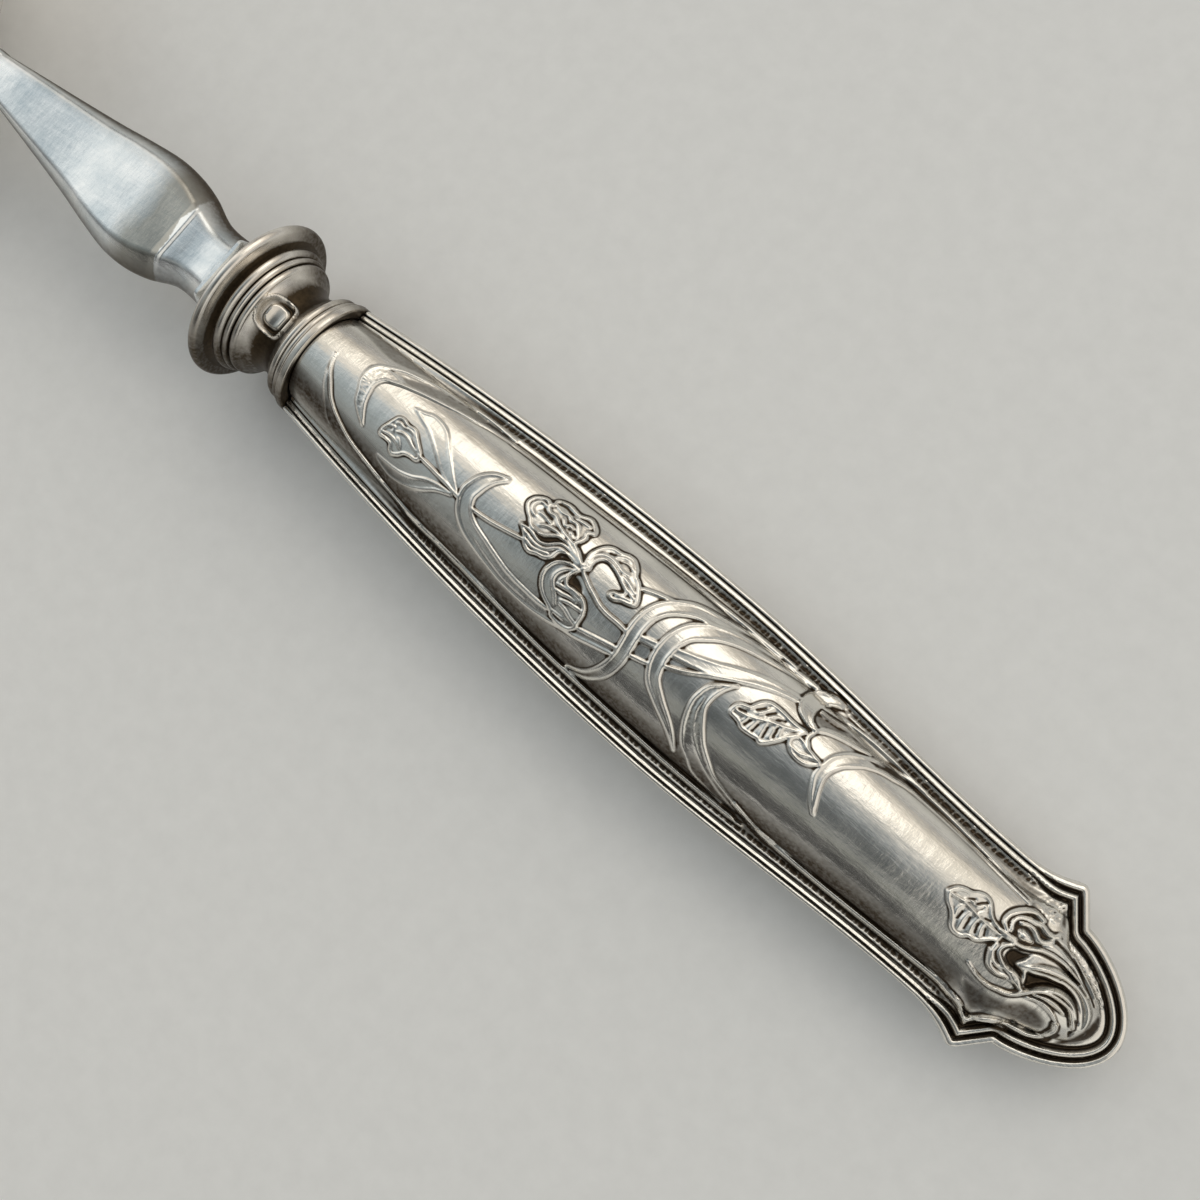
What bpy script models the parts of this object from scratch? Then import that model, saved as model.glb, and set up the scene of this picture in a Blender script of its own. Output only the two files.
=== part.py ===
"""Sauce spoon with a filled silver handle: bowl, shank, bolster plate, ferrule, two handle shells and filling.

Metres, +Z up. The spoon lies on its back, bowl towards -X and handle end towards +X. It rests on the bowl's foot
and the back of the handle, with the flange just clear, so its own axis slopes. That axis is the empty spoon_axis,
whose zero is the joint between the bolster plate and the ferrule.
"""
import math

import bmesh
import bpy

# Bowl, an oval raised from sheet
BOWL_LENGTH = 0.062
BOWL_WIDTH = 0.044
BOWL_DEPTH = 0.0145
BOWL_SHEET = 0.0011
BOWL_FOOT_LENGTH = 0.008
BOWL_EGG = 0.07

# Shank, forged with six sides between the bowl and the bolster plate
SHANK_LENGTH = 0.036
SHANK_FOOT_HALF = 0.0043
SHANK_FOOT_FLAT = 0.0024
NECK_AT = 0.0055
NECK_HALF = 0.0040
NECK_FLAT = 0.00215
SHOULDER_AT = 0.0098
SHOULDER_HALF = 0.0056
SHOULDER_FLAT = 0.0031
LEAF_AT = 0.0145
LEAF_HALF = 0.00585
LEAF_FLAT = 0.0042
STEM_HALF = 0.0022
STEM_FLAT = 0.0018
SHANK_HALF_THICKNESS = 0.0022
STEM_HALF_THICKNESS = 0.0014
STEM_RISE_LENGTH = 0.015
HEEL_TONGUE_LENGTH = 0.012
HEEL_TIP_HALF = 0.0008
HEEL_TIP_THICKNESS = 0.0007

# Tang, the end of the shank that the filling holds
TANG_LENGTH = 0.046
TANG_HALF = 0.0017
TANG_TIP_HALF = 0.0011

# Bolster plate and ferrule, both turned
PLATE_THICKNESS = 0.0007
FLANGE_RADIUS = 0.00885
FLANGE_THICKNESS = 0.0009
FLANGE_EDGE = 0.00012
RING_RADIUS = 0.0072
RING_LENGTH = 0.0007
STEP_RADIUS = 0.0065
STEP_LENGTH = 0.0009
GROOVE_WIDTH = 0.00015
GROOVE_DEPTH = 0.0004
CAVETTO_LENGTH = 0.0035
CAVETTO_WAIST_RADIUS = 0.00475
REED_RADIUS = 0.00605
REED_LENGTH = 0.0009
COLLAR_RADIUS = 0.0064
COLLAR_LENGTH = 0.00125

# Handle outline, half widths and the lengths between them, from the ferrule to the tip
START_HALF = 0.0062
WIDEST_HALF = 0.00945
WAIST_HALF = 0.0080
EAR_HALF = 0.0095
NOTCH_HALF = 0.0066
SWELL_LENGTH = 0.0476
TAPER_LENGTH = 0.0334
EAR_RISE_LENGTH = 0.0054
EAR_DROP_LENGTH = 0.0024
TERMINAL_LENGTH = 0.0083
TERMINAL_FULLNESS = 1.4

# Handle depth from the seam to the crown, and the border round each shell
START_DEPTH = 0.0058
MID_DEPTH = 0.0064
TERMINAL_DEPTH = 0.0042
WEAR_FLAT = 0.00012
EDGE_HEIGHT = 0.0009
THREAD_WIDTH = 0.0006
THREAD_RISE = 0.0003
CHANNEL_WIDTH = 0.0009
BORDER_SLOPE = 0.35
FIELD_POWER = 0.62
SHELL_WALL = 0.0009
SEAM_WIDTH = 0.0013

# Rest on a table: where the handle touches it, beyond its widest place, and the room under the flange
REST_BEYOND_WIDEST = 0.0185
FLANGE_CLEARANCE = 0.0003

# Clearances between pieces that are soldered, cemented or seated on each other
JOINT_GAP = 0.0001
FIT_GAP = 0.0003

# Mesh steps
ROUND_STEPS = 40
BOWL_STEPS = 48
BOWL_RINGS = 8
CAVETTO_STEPS = 8
REED_STEPS = 4
SHANK_STEPS = 3
TONGUE_STEPS = 5

# Places along the axis that several pieces share
FERRULE_END = (FLANGE_THICKNESS + RING_LENGTH + STEP_LENGTH + 3 * GROOVE_WIDTH + CAVETTO_LENGTH
               + 2 * REED_LENGTH + COLLAR_LENGTH)
WIDEST_X = FERRULE_END + SWELL_LENGTH
WAIST_X = WIDEST_X + TAPER_LENGTH
EAR_X = WAIST_X + EAR_RISE_LENGTH
NOTCH_X = EAR_X + EAR_DROP_LENGTH
HANDLE_TIP_X = NOTCH_X + TERMINAL_LENGTH
PLATE_FRONT_X = -PLATE_THICKNESS
HEEL_X = PLATE_FRONT_X - SHANK_LENGTH
BOWL_CENTRE_X = HEEL_X - BOWL_LENGTH / 2
BOWL_TIP_X = HEEL_X - BOWL_LENGTH
BORDER_WIDTH = 3 * THREAD_WIDTH + CHANNEL_WIDTH
REST_X = WIDEST_X + REST_BEYOND_WIDEST
BORE_RADIUS = TANG_HALF + FIT_GAP


def clear_scene():
    for old in list(bpy.data.objects):
        bpy.data.objects.remove(old, do_unlink=True)


def make_material(name, colour, metallic, roughness):
    material = bpy.data.materials.new(name)
    material.use_nodes = True
    shader = material.node_tree.nodes["Principled BSDF"]
    shader.inputs["Base Color"].default_value = (*colour, 1.0)
    shader.inputs["Metallic"].default_value = metallic
    shader.inputs["Roughness"].default_value = roughness
    return material


def make_object(name, mesh_data, material, parent, smooth_angle=30.0):
    """Turn points and faces into a closed, outward-facing object on the spoon's axis."""
    points, faces = mesh_data
    mesh = bpy.data.meshes.new(name)
    mesh.from_pydata(points, [], faces)
    work = bmesh.new()
    work.from_mesh(mesh)
    bmesh.ops.recalc_face_normals(work, faces=work.faces)
    work.to_mesh(mesh)
    work.free()
    mesh.shade_smooth()
    mesh.set_sharp_from_angle(angle=math.radians(smooth_angle))
    mesh.materials.append(material)
    piece = bpy.data.objects.new(name, mesh)
    bpy.context.scene.collection.objects.link(piece)
    piece.parent = parent
    return piece


def hermite(start, end, start_slope, end_slope, span, share):
    """Height of a cubic between two heights with the slopes given, at a share of its span."""
    square = share * share
    cube = square * share
    return ((2 * cube - 3 * square + 1) * start + (cube - 2 * square + share) * span * start_slope
            + (3 * square - 2 * cube) * end + (cube - square) * span * end_slope)


def loft(rings, wrap=False):
    """Skin closed rings of equal count, with a flat cap on each end unless the rings wrap round."""
    count = len(rings[0])
    points = [point for ring in rings for point in ring]
    faces = []
    spans = len(rings) if wrap else len(rings) - 1
    for row in range(spans):
        here = row * count
        there = ((row + 1) % len(rings)) * count
        for step in range(count):
            after = (step + 1) % count
            faces.append((here + step, here + after, there + after, there + step))
    if not wrap:
        last = (len(rings) - 1) * count
        faces.append(tuple(range(count)))
        faces.append(tuple(range(last, last + count)))
    return points, faces


def turn(profile):
    """Revolve a closed profile of (x, radius) about the spoon's axis."""
    rings = []
    for along, radius in profile:
        angles = [2 * math.pi * step / ROUND_STEPS for step in range(ROUND_STEPS)]
        rings.append([(along, radius * math.cos(angle), radius * math.sin(angle)) for angle in angles])
    return loft(rings, wrap=True)


def crown_depth(x):
    """Depth of a shell from the seam to the crown, on the middle line."""
    if x <= WIDEST_X:
        share = (x - FERRULE_END) / SWELL_LENGTH
        return hermite(START_DEPTH, MID_DEPTH, 0.0, 0.0, SWELL_LENGTH, share)
    span = NOTCH_X - WIDEST_X
    return hermite(MID_DEPTH, TERMINAL_DEPTH, 0.0, -0.1, span, (x - WIDEST_X) / span)


def table_slope():
    """Slope of the table against the spoon's axis."""
    return (FLANGE_RADIUS + FLANGE_CLEARANCE - crown_depth(REST_X) + WEAR_FLAT) / REST_X


def table_depth(x):
    """Depth of the table below the spoon's axis."""
    return FLANGE_RADIUS + FLANGE_CLEARANCE - x * table_slope()


def bowl_outside(share):
    """Height of the bowl's underside above its foot, at a share of the way out to the rim."""
    foot = BOWL_FOOT_LENGTH / BOWL_LENGTH
    rise = max(0.0, (share - foot) / (1 - foot))
    return BOWL_DEPTH * rise ** 2


def bowl_underside(x, y):
    """Height of the bowl's underside against the spoon's axis, over a point in plan."""
    along = (x - BOWL_CENTRE_X) / (BOWL_LENGTH / 2)
    across = y / (BOWL_WIDTH / 2 * (1 - BOWL_EGG * along))
    return bowl_outside(math.hypot(along, across)) - table_depth(x)


def bowl_ring(share, inset, height):
    """One ring of the bowl: an oval a little wider towards the tip, moved in by the sheet's thickness."""
    ring = []
    for step in range(BOWL_STEPS):
        angle = 2 * math.pi * step / BOWL_STEPS
        along = share * math.cos(angle)
        across = share * math.sin(angle) * (1 - BOWL_EGG * along)
        x = BOWL_CENTRE_X + along * (BOWL_LENGTH / 2 - inset)
        ring.append((x, across * (BOWL_WIDTH / 2 - inset), height - table_depth(x)))
    return ring


def make_bowl():
    foot = BOWL_FOOT_LENGTH / BOWL_LENGTH
    shares = [foot + (1 - foot) * row / BOWL_RINGS for row in range(BOWL_RINGS + 1)]
    rings = [bowl_ring(share, 0.0, bowl_outside(share)) for share in shares]
    hollow = BOWL_DEPTH - BOWL_SHEET
    for share in reversed(shares):
        rings.append(bowl_ring(share, BOWL_SHEET, BOWL_SHEET + hollow * share ** 2))
    return loft(rings)


def shank_section(x, centre, flat, half, half_thickness):
    """Six-sided section with a flat face above and below and a ridge along each side."""
    top = centre + half_thickness
    bottom = centre - half_thickness
    return [(x, -flat, top), (x, 0.0, top), (x, flat, top), (x, half, centre),
            (x, flat, bottom), (x, 0.0, bottom), (x, -flat, bottom), (x, -half, centre)]


def tongue_section(x, share):
    """Section of the heel tongue, whose top lies along the bowl's underside."""
    half = STEM_HALF + (HEEL_TIP_HALF - STEM_HALF) * share
    flat = half * STEM_FLAT / STEM_HALF
    thickness = 2 * STEM_HALF_THICKNESS + (HEEL_TIP_THICKNESS - 2 * STEM_HALF_THICKNESS) * share
    middle = bowl_underside(x, 0.0) - FIT_GAP
    side = bowl_underside(x, flat) - FIT_GAP
    edge = middle - thickness / 2
    bottom = middle - thickness
    return [(x, -flat, side), (x, 0.0, middle), (x, flat, side), (x, half, edge),
            (x, flat, bottom), (x, 0.0, bottom), (x, -flat, bottom), (x, -half, edge)]


def smooth_rows(rows, steps):
    """Add rows between the given ones on a smooth curve through them."""
    result = []
    for index in range(len(rows) - 1):
        first, second = rows[index], rows[index + 1]
        before = rows[max(index - 1, 0)]
        after = rows[min(index + 2, len(rows) - 1)]
        span = second[0] - first[0]
        for step in range(steps):
            share = step / steps
            row = [first[0] + span * share]
            for item in range(1, len(first)):
                start_slope = (second[item] - before[item]) / (second[0] - before[0])
                end_slope = (after[item] - first[item]) / (after[0] - first[0])
                row.append(hermite(first[item], second[item], start_slope, end_slope, span, share))
            result.append(row)
    result.append(rows[-1])
    return result


def make_shank():
    stem_top = BOWL_DEPTH - table_depth(HEEL_X) - BOWL_SHEET
    rise = stem_top - STEM_HALF_THICKNESS
    rows = smooth_rows([
        (0.0, SHANK_FOOT_FLAT, SHANK_FOOT_HALF, SHANK_HALF_THICKNESS),
        (NECK_AT, NECK_FLAT, NECK_HALF, SHANK_HALF_THICKNESS),
        (SHOULDER_AT, SHOULDER_FLAT, SHOULDER_HALF, SHANK_HALF_THICKNESS),
        (LEAF_AT, LEAF_FLAT, LEAF_HALF, SHANK_HALF_THICKNESS),
        (SHANK_LENGTH - FIT_GAP, STEM_FLAT, STEM_HALF, STEM_HALF_THICKNESS),
    ], SHANK_STEPS)
    sections = []
    for step in reversed(range(TONGUE_STEPS)):
        share = step / (TONGUE_STEPS - 1)
        inset = BOWL_SHEET + (HEEL_TONGUE_LENGTH - BOWL_SHEET) * share
        sections.append(tongue_section(HEEL_X - inset, share))
    for distance, flat, half, half_thickness in reversed(rows):
        climb = max(0.0, (distance - (SHANK_LENGTH - STEM_RISE_LENGTH)) / STEM_RISE_LENGTH)
        centre = rise * hermite(0.0, 1.0, 0.0, 0.0, 1.0, climb)
        x = PLATE_FRONT_X - JOINT_GAP - distance
        sections.append(shank_section(x, centre, flat, half, half_thickness))
    foot_x = PLATE_FRONT_X - JOINT_GAP
    tang_flat = TANG_HALF / 2
    sections.append(shank_section(foot_x, 0.0, tang_flat, TANG_HALF, TANG_HALF))
    sections.append(shank_section(FERRULE_END + TANG_LENGTH, 0.0, TANG_TIP_HALF / 2, TANG_TIP_HALF, TANG_TIP_HALF))
    return loft(sections)


def make_bolster_plate():
    return turn([
        (PLATE_FRONT_X, BORE_RADIUS),
        (PLATE_FRONT_X, FLANGE_RADIUS - FLANGE_EDGE),
        (PLATE_FRONT_X + FLANGE_EDGE, FLANGE_RADIUS),
        (-JOINT_GAP - FLANGE_EDGE, FLANGE_RADIUS),
        (-JOINT_GAP, FLANGE_RADIUS - FLANGE_EDGE),
        (-JOINT_GAP, BORE_RADIUS),
    ])


def make_ferrule():
    """Flange, ring, step, cavetto, two reeds and collar, one after the other along the axis."""
    profile = [
        (0.0, BORE_RADIUS),
        (0.0, FLANGE_RADIUS - FLANGE_EDGE),
        (FLANGE_EDGE, FLANGE_RADIUS),
        (FLANGE_THICKNESS - FLANGE_EDGE, FLANGE_RADIUS),
    ]
    x = FLANGE_THICKNESS
    profile.append((x, RING_RADIUS - GROOVE_DEPTH))
    x += GROOVE_WIDTH
    profile.append((x, RING_RADIUS - GROOVE_DEPTH))
    profile.append((x, RING_RADIUS))
    x += RING_LENGTH
    profile.append((x, RING_RADIUS))
    profile.append((x, STEP_RADIUS - GROOVE_DEPTH))
    x += GROOVE_WIDTH
    profile.append((x, STEP_RADIUS - GROOVE_DEPTH))
    profile.append((x, STEP_RADIUS))
    x += STEP_LENGTH
    profile.append((x, STEP_RADIUS))
    high = STEP_RADIUS - GROOVE_DEPTH
    low = REED_RADIUS - GROOVE_DEPTH
    sag = (high + low) / 2 - CAVETTO_WAIST_RADIUS
    for step in range(CAVETTO_STEPS + 1):
        share = step / CAVETTO_STEPS
        radius = high + (low - high) * share - sag * math.sin(math.pi * share)
        profile.append((x + CAVETTO_LENGTH * share, radius))
    x += CAVETTO_LENGTH
    for reed in range(2):
        for step in range(1, REED_STEPS + 1):
            share = step / REED_STEPS
            radius = low + GROOVE_DEPTH * math.sin(math.pi * share)
            profile.append((x + REED_LENGTH * share, radius))
        x += REED_LENGTH
    x += GROOVE_WIDTH
    profile.append((x, low))
    profile.append((x, COLLAR_RADIUS))
    profile.append((FERRULE_END - JOINT_GAP, COLLAR_RADIUS))
    profile.append((FERRULE_END - JOINT_GAP, BORE_RADIUS))
    return turn(profile)


def side_outline():
    """One side of the handle's outline as (x, half width), from the ferrule to the notch behind the ear."""
    start_slope = 2.0 * (WIDEST_HALF - START_HALF) / SWELL_LENGTH
    ear_slope = 2.0 * (EAR_HALF - WAIST_HALF) / EAR_RISE_LENGTH
    drop_slope = (NOTCH_HALF - EAR_HALF) / EAR_DROP_LENGTH
    curves = [
        (FERRULE_END, SWELL_LENGTH, START_HALF, WIDEST_HALF, start_slope, 0.0, 9),
        (WIDEST_X, TAPER_LENGTH, WIDEST_HALF, WAIST_HALF, 0.0, 0.0, 7),
        (WAIST_X, EAR_RISE_LENGTH, WAIST_HALF, EAR_HALF, 0.0, ear_slope, 4),
        (EAR_X, EAR_DROP_LENGTH, EAR_HALF, NOTCH_HALF, drop_slope, drop_slope, 3),
    ]
    outline = []
    for x, length, first, second, first_slope, second_slope, steps in curves:
        for step in range(steps):
            share = step / steps
            half = hermite(first, second, first_slope, second_slope, length, share)
            outline.append((x + length * share, half))
    outline.append((NOTCH_X, NOTCH_HALF))
    return outline


def end_outline(steps=7):
    """The round terminal from one notch to the other, as (x, y), without the notches themselves."""
    points = []
    for step in range(1, 2 * steps):
        angle = math.pi / 2 * (step / steps - 1)
        reach = math.cos(angle) ** (2 / TERMINAL_FULLNESS)
        points.append((NOTCH_X + TERMINAL_LENGTH * reach, NOTCH_HALF * math.sin(angle)))
    return points


def border_profile():
    """Threads and channel as (distance in from the outline, height above the seam)."""
    rows = [(0.0, 0.0), (0.0, 0.0), (0.5, 1.0), (1.0, 0.0), (1.5, 1.0), (2.0, -0.3)]
    profile = [(THREAD_WIDTH * place, THREAD_RISE * lift) for place, lift in rows]
    inner = 2 * THREAD_WIDTH + CHANNEL_WIDTH
    profile.append((inner, 0.0))
    profile.append((inner + THREAD_WIDTH / 2, THREAD_RISE))
    profile.append((BORDER_WIDTH, 0.0))
    heights = [(inset, EDGE_HEIGHT + BORDER_SLOPE * inset + lift) for inset, lift in profile]
    heights[0] = (0.0, JOINT_GAP / 2)
    return heights


def field_height(share, crown):
    """Height of the convex field, from its edge at the border (share 0) to the crown (share 1)."""
    edge = EDGE_HEIGHT + BORDER_SLOPE * BORDER_WIDTH
    return edge + (crown - edge) * (1 - (1 - share) ** 2) ** FIELD_POWER


FIELD_SHARES = (0.12, 0.3, 0.52, 0.76, 0.9)


def plan_stations():
    """Outline points with the point of the middle line that each one faces, round from side to side."""
    side = side_outline()
    near = [((x, -half), index) for index, (x, half) in enumerate(side)]
    pole = len(side) - 1
    end = [(point, pole) for point in end_outline()]
    far = [((x, half), index) for index, (x, half) in reversed(list(enumerate(side)))]
    spine = [x for x, half in side]
    return near + end + far, spine


def chain(stations, spine, inset_heights, field_drop, worn=False):
    """Rows of points from the outline to beside the middle line, then the middle line's own points.

    A worn skin is cut flat where it would pass through the table.
    """
    def limit(x, height):
        return min(height, table_depth(x)) if worn else height

    rows = []
    for (x, y), index in stations:
        foot = spine[index]
        length = math.hypot(foot - x, y)
        crown = crown_depth(foot)
        row = []
        for inset, height in inset_heights:
            share = inset / length
            row.append((x + (foot - x) * share, y * (1 - share), height))
        edge = BORDER_WIDTH / length
        for field_share in FIELD_SHARES:
            share = edge + (1 - edge) * field_share
            across = x + (foot - x) * share
            height = limit(across, field_height(field_share, crown) - field_drop)
            row.append((across, y * (1 - share), height))
        rows.append(row)
    ridge = [(x, 0.0, limit(x, crown_depth(x) - field_drop)) for x in spine]
    return rows, ridge


def add_sheet(points, faces, rows, ridge, stations):
    """Add one skin made by chain, and return the index of each row's points and of the ridge."""
    row_ids = []
    for row in rows:
        row_ids.append(list(range(len(points), len(points) + len(row))))
        points.extend(row)
    ridge_ids = list(range(len(points), len(points) + len(ridge)))
    points.extend(ridge)
    for index in range(len(rows) - 1):
        left, right = row_ids[index], row_ids[index + 1]
        for step in range(len(left) - 1):
            faces.append((left[step], left[step + 1], right[step + 1], right[step]))
        left_foot = ridge_ids[stations[index][1]]
        right_foot = ridge_ids[stations[index + 1][1]]
        if left_foot == right_foot:
            faces.append((left[-1], left_foot, right[-1]))
        else:
            faces.append((left[-1], left_foot, right_foot, right[-1]))
    return row_ids, ridge_ids


def make_shell(worn):
    """A die-struck half of the handle: bordered outer skin, smooth inner skin, flat seam and open front end."""
    stations, spine = plan_stations()
    points = []
    faces = []
    field_edge = EDGE_HEIGHT + BORDER_SLOPE * BORDER_WIDTH
    outer = chain(stations, spine, border_profile(), 0.0, worn)
    inner_border = [(SEAM_WIDTH, JOINT_GAP / 2), (BORDER_WIDTH, field_edge - SHELL_WALL)]
    inner = chain(stations, spine, inner_border, SHELL_WALL)
    outer_ids, outer_ridge = add_sheet(points, faces, *outer, stations)
    inner_ids, inner_ridge = add_sheet(points, faces, *inner, stations)
    for index in range(len(stations) - 1):
        faces.append((outer_ids[index][0], outer_ids[index + 1][0], inner_ids[index + 1][0], inner_ids[index][0]))
    outer_arch = outer_ids[0] + [outer_ridge[0]] + outer_ids[-1][::-1]
    inner_arch = inner_ids[0] + [inner_ridge[0]] + inner_ids[-1][::-1]
    faces.append(tuple(outer_arch + inner_arch[::-1]))
    return points, faces


def turn_over(mesh_data):
    """Half a turn about the spoon's axis."""
    points, faces = mesh_data
    return [(x, -y, -z) for x, y, z in points], faces


def make_filling():
    """Cement that fills both shells: the inner skin less a fit gap, above and below the seam."""
    stations, spine = plan_stations()
    points = []
    faces = []
    field_edge = EDGE_HEIGHT + BORDER_SLOPE * BORDER_WIDTH
    drop = SHELL_WALL + FIT_GAP
    border = [(SEAM_WIDTH + FIT_GAP, 0.0), (BORDER_WIDTH + FIT_GAP, field_edge - drop)]
    rows, ridge = chain(stations, spine, border, drop)
    upper_ids, upper_ridge = add_sheet(points, faces, rows, ridge, stations)
    lower_rows = [[(x, y, -z) for x, y, z in row[1:]] for row in rows]
    lower_ridge = [(x, y, -z) for x, y, z in ridge]
    lower_ids, lower_ridge_ids = add_sheet(points, faces, lower_rows, lower_ridge, stations)
    for index in range(len(stations) - 1):
        faces.append((upper_ids[index][0], upper_ids[index + 1][0], lower_ids[index + 1][0], lower_ids[index][0]))
    upper_arch = upper_ids[0][1:] + [upper_ridge[0]] + upper_ids[-1][1:][::-1]
    lower_arch = lower_ids[0] + [lower_ridge_ids[0]] + lower_ids[-1][::-1]
    faces.append(tuple([upper_ids[0][0]] + upper_arch + [upper_ids[-1][0]] + lower_arch[::-1]))
    return points, faces


def make_tang_cutter():
    """The tang with a fit gap all round, for its hole in the filling."""
    start = shank_section(FERRULE_END - FIT_GAP, 0.0, BORE_RADIUS / 2, BORE_RADIUS, BORE_RADIUS)
    tip = TANG_TIP_HALF + FIT_GAP
    end = shank_section(FERRULE_END + TANG_LENGTH + FIT_GAP, 0.0, tip / 2, tip, tip)
    return loft([start, end])


def build():
    clear_scene()
    axis = bpy.data.objects.new("spoon_axis", None)
    tilt = math.atan(table_slope())
    middle_x = (HANDLE_TIP_X + BOWL_TIP_X) / 2
    axis.location = (-middle_x * math.cos(tilt), 0.0, table_depth(0.0) * math.cos(tilt))
    axis.rotation_euler = (0.0, tilt, 0.0)
    bpy.context.scene.collection.objects.link(axis)

    silver = (0.83, 0.81, 0.77)
    make_object("bowl", make_bowl(), make_material("bowl_silver", silver, 1.0, 0.22), axis)
    make_object("shank", make_shank(), make_material("shank_silver", silver, 1.0, 0.25), axis, 20.0)
    make_object("bolster_plate", make_bolster_plate(), make_material("plate_silver", silver, 1.0, 0.25), axis)
    make_object("ferrule", make_ferrule(), make_material("ferrule_silver", silver, 1.0, 0.25), axis)
    front = make_material("front_shell_silver", silver, 1.0, 0.28)
    make_object("handle_front_shell", make_shell(worn=False), front, axis)
    back = make_material("back_shell_silver", silver, 1.0, 0.28)
    make_object("handle_back_shell", turn_over(make_shell(worn=True)), back, axis)
    cement = make_material("filling_cement", (0.30, 0.19, 0.11), 0.0, 0.85)
    filling = make_object("cement_filling", make_filling(), cement, axis)
    cutter = make_object("tang_cutter", make_tang_cutter(), cement, axis)
    cutter.hide_render = True
    cutter.display_type = "WIRE"
    hole = filling.modifiers.new("tang_hole", "BOOLEAN")
    hole.operation = "DIFFERENCE"
    hole.object = cutter


build()
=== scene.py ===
"""Looks of the sauce spoon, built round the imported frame.

Sizes are in millimetres on the spoon's own axis: x runs from the flange joint to the handle end, y to the
far side and z up out of the seam between the two handle shells. The ornament's curves are written in the
photograph's own pixels, along and across the handle, and are laid on the shell by the same camera that takes
the picture.
"""
import math

import bpy
import numpy as np
from mathutils import Matrix


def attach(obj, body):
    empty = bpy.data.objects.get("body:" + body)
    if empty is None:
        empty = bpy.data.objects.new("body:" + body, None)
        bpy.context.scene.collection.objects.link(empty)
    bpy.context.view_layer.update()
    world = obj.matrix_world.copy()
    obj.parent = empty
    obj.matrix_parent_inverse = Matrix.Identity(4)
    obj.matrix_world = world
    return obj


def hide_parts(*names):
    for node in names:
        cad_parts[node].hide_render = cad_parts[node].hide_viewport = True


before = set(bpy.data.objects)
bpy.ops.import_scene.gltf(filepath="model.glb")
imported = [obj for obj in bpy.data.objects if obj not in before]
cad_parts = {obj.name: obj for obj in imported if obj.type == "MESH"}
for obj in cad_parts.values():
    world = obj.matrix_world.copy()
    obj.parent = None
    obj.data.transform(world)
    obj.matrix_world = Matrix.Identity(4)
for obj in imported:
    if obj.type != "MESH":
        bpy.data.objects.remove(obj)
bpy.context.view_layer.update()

MM = 0.001

# Bowl: its oval, sheet and foot, how it narrows and how its heel is drawn out to the shank
BOWL_LENGTH = 62.0
BOWL_WIDTH = 44.0
BOWL_DEPTH = 14.5
BOWL_SHEET = 1.1
BOWL_FOOT_LENGTH = 8.0
BOWL_EGG = 0.07
HEEL_DRAWN = 0.84
HEEL_POWER = 6
BOWL_STEPS = 192
BOWL_RINGS = 44

# Bowl's rim: the shares of the oval where it starts outside and inside, and its roundness, step and trim
RIM_FROM = 0.97
RIM_INSIDE = 0.985
RIM_STEPS = 8
RIM_FULLNESS = 0.7
RIM_STEP = 0.35
RIM_TRIM = 0.06
INSIDE_FOOT = 0.4

# Stem, heel tongue and tang of the shank
SHANK_LENGTH = 36.0
STEM_AT = 35.7
STEM_FLAT = 1.8
STEM_HALF = 2.2
STEM_HALF_THICKNESS = 1.4
STEM_RISE_LENGTH = 15.0
HEEL_TONGUE_LENGTH = 12.0
HEEL_TIP_HALF = 0.8
HEEL_TIP_THICKNESS = 0.7
TANG_LENGTH = 46.0
TANG_HALF = 1.7
TANG_TIP_HALF = 1.1

# Shank: distance from the plate, half width of the top face, half width at the side ridge, half thickness
LEAF_HALF = 5.85
SHANK_CURVE = (
    (0.0, 2.4, 4.3, 2.2),
    (5.5, 2.1, 4.0, 2.2),
    (8.9, 3.0, 5.2, 2.2),
    (11.5, 3.85, 5.75, 2.2),
    (14.5, 4.2, LEAF_HALF, 2.2),
    (18.0, 3.95, 5.35, 2.1),
    (22.0, 3.3, 4.6, 1.9),
    (STEM_AT, STEM_FLAT, STEM_HALF, STEM_HALF_THICKNESS),
)

# Ridge across the shank's neck, as its two feet with the crest between, and the hollow before it
NECK_RIDGE = (8.1, 8.4, 9.25)
NECK_RIDGE_RISE = 0.22
NECK_HOLLOW_AT = 5.6
NECK_HOLLOW_HALF = 2.6
NECK_HOLLOW_DEPTH = 0.2

# Moulded block at the shank's foot, and how much fuller the shank is on its near side
FOOT_BLOCK_AT = 2.55
FOOT_BLOCK_HALF = 0.5
FOOT_BLOCK_EDGE = 0.3
FOOT_BLOCK_FLAT = 3.3
FOOT_BLOCK_RISE = 0.45
NEAR_FLAT_EXTRA = 0.5
NEAR_SIDE_EXTRA = 0.8

# Sections of the shank: rounding of the corners, and how much painted shade each corner gets, from the near
# top edge on
SECTION_CORNER = 0.45
SECTION_CORNER_MOST = 0.4
CORNER_STEPS = 4
SECTION_PAINTED_SHADE = (0.05, 0.0, 0.2, 0.7, 0.4, 0.2, 0.3, 0.5)
SHANK_SECTIONS = 420
TONGUE_SECTIONS = 30

# Bolster plate and ferrule. Points are place and radius, beads are place, half length, radius and height
PLATE_THICKNESS = 0.7
PLATE_FACE_RADIUS = 7.2
PLATE_BEVEL = 0.5
PLATE_ROUNDING = 0.2
PLATE_CORNER_STEPS = 5
BORE_RADIUS = 2.0
FLANGE_RADIUS = 8.85
FLANGE_FRONT = (0.25, 8.1)
FLANGE_BEAD = (0.95, 0.5, FLANGE_RADIUS, 0.4)
FLANGE_BACK = ((1.52, 7.7), (1.66, 6.9), (1.9, 6.75))
STEP_RADIUS = 6.5
BEADS = ((2.4, 0.45, 7.2, 0.4), (3.2, 0.27, 6.8, 0.2), (3.9, 0.36, STEP_RADIUS, 0.3))
HOLLOW_START = (4.35, 6.1)
HOLLOW_END = (8.25, 5.65)
HOLLOW_WAIST_RADIUS = 4.75
HOLLOW_STEPS = 40
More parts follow.
